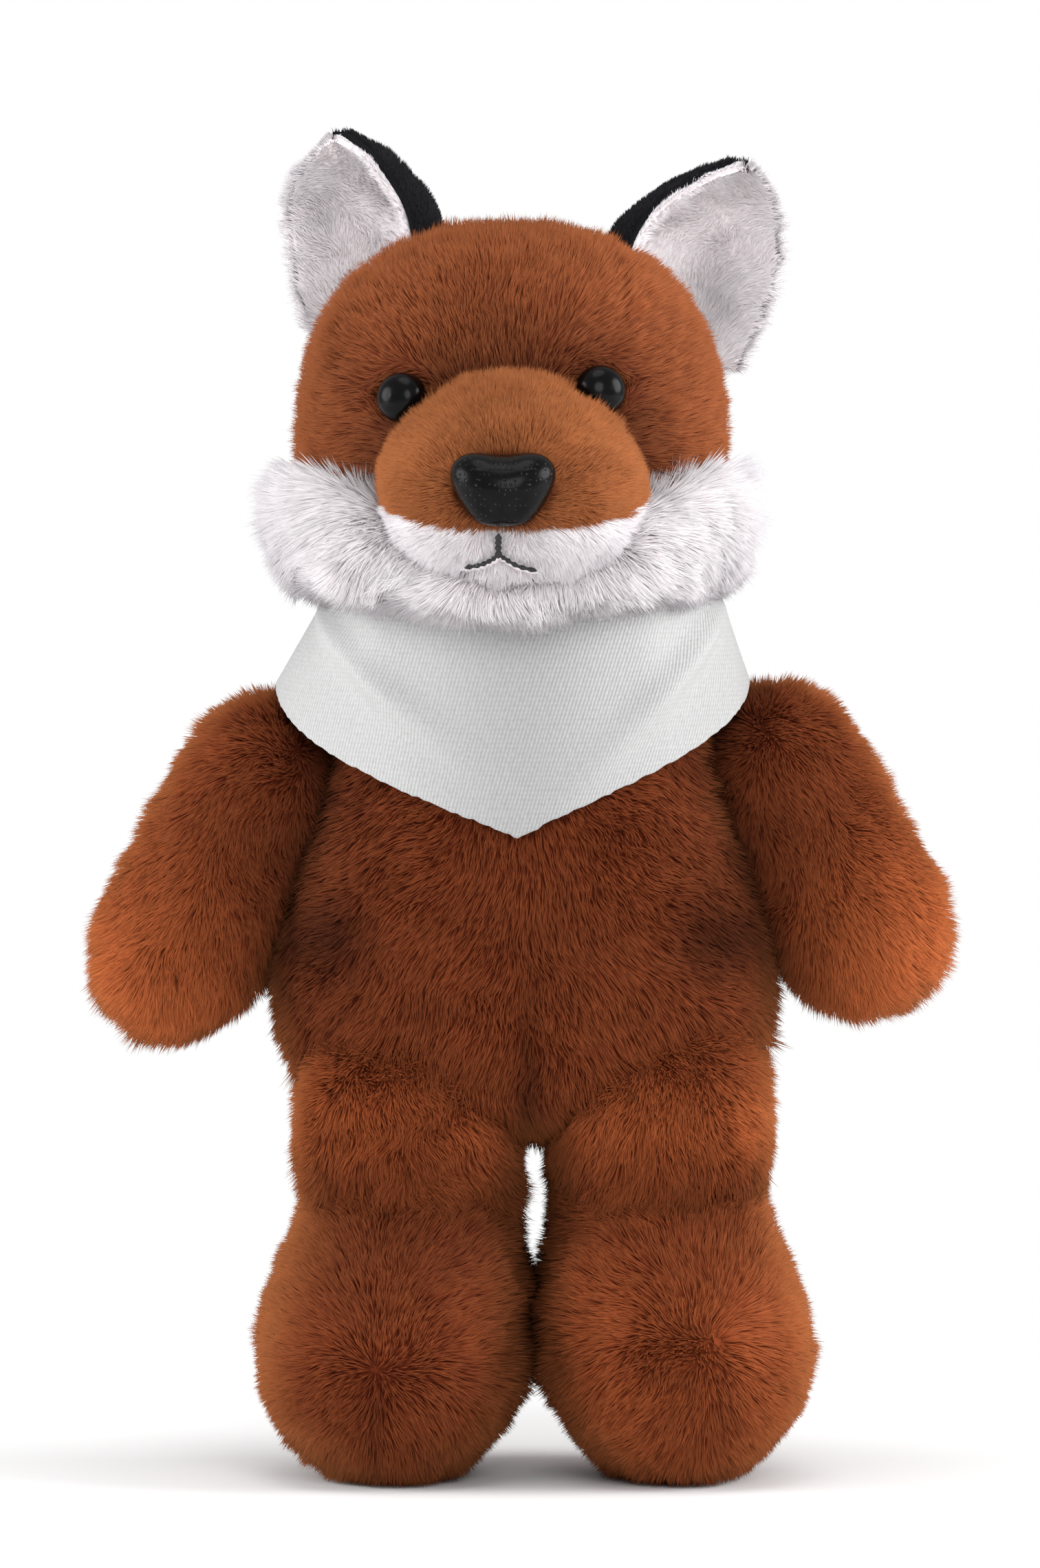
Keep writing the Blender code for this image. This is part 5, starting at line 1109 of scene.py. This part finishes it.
# Studio. A white floor and a soft white surround, lit by a large light at each side, one in front and a weak
# one above. The camera looks level with the chest and slightly down, as in the photograph.
def lamp(name, place, aim, size, power):
    """A round area light at a place, turned to its aim."""
    light = bpy.data.lights.new(name, "AREA")
    light.shape = "DISK"
    light.size = size
    light.energy = power
    holder = bpy.data.objects.new(name, light)
    bpy.context.scene.collection.objects.link(holder)
    way = np.array(aim, float) - np.array(place, float)
    holder.location = place
    holder.rotation_euler = look(way)
    holder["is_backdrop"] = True


def look(way):
    """The turn that points an object's own -Z along a way, its Y upward."""
    from_level = math.atan2(way[2], math.hypot(way[0], way[1]))
    return (math.pi / 2 + from_level, 0.0, math.atan2(-way[0], way[1]))


floor_mesh = bpy.data.meshes.new("floor")
floor_mesh.from_pydata([(-6, -6, 0), (6, -6, 0), (6, 6, 0), (-6, 6, 0)], [], [(0, 1, 2, 3)])
floor_material, tree, shader = blank_material("floor white")
shader.inputs["Base Color"].default_value = (0.95, 0.95, 0.95, 1)
shader.inputs["Roughness"].default_value = 0.9
from_middle = node(tree, "ShaderNodeVectorMath", {0: node(tree, "ShaderNodeTexCoord").outputs["Object"]},
                   operation="LENGTH")
fade = node(tree, "ShaderNodeMapRange", {"Value": from_middle.outputs["Value"], "From Min": 0.1,
                                         "From Max": 0.28}, interpolation_type="SMOOTHSTEP")
to_camera = node(tree, "ShaderNodeMath", {0: fade.outputs["Result"],
                                          1: node(tree, "ShaderNodeLightPath").outputs["Is Camera Ray"]},
                 operation="MULTIPLY")
glow = node(tree, "ShaderNodeEmission", {"Color": (1, 1, 1, 1), "Strength": 1.0})
blend = node(tree, "ShaderNodeMixShader", {0: to_camera.outputs["Value"]})
tree.links.new(shader.outputs["BSDF"], blend.inputs[1])
tree.links.new(glow.outputs["Emission"], blend.inputs[2])
tree.links.new(blend.outputs["Shader"], tree.nodes["Material Output"].inputs["Surface"])
floor = piece_of("floor", floor_mesh, floor_material)
floor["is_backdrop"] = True

world = bpy.data.worlds.new("surround")
bpy.context.scene.world = world
world.use_nodes = True
surround = world.node_tree
background = surround.nodes["Background"]
seen = node(surround, "ShaderNodeLightPath").outputs["Is Camera Ray"]
strength = node(surround, "ShaderNodeMapRange", {"Value": seen, "To Min": 0.6, "To Max": 1.0})
surround.links.new(strength.outputs["Result"], background.inputs["Strength"])
background.inputs["Color"].default_value = (1, 1, 1, 1)

lamp("light from the left", (-1.3, -0.3, 0.5), (0, 0, 0.15), 0.9, 11.5)
lamp("light from the right", (1.3, -0.25, 0.6), (0, 0, 0.15), 0.9, 14.5)
lamp("light from above", (0, -0.3, 1.4), (0, 0, 0.2), 0.9, 4)
lamp("light in front", (0.3, -1.7, 0.7), (0, 0, 0.15), 1.0, 11)

camera = bpy.data.cameras.new("camera")
camera.lens = 223
camera.sensor_width = 36
camera.clip_start = 0.05
camera.clip_end = 20
eye_point = np.array([0.0, -0.0185, 0.1558])
tilt = math.radians(2.5)
away = 2.2
holder = bpy.data.objects.new("camera", camera)
bpy.context.scene.collection.objects.link(holder)
place = eye_point + away * np.array([0, -math.cos(tilt), math.sin(tilt)])
holder.location = place
holder.rotation_euler = look(eye_point - place)
bpy.context.scene.camera = holder
bpy.context.scene.view_settings.view_transform = "Standard"

low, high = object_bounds()
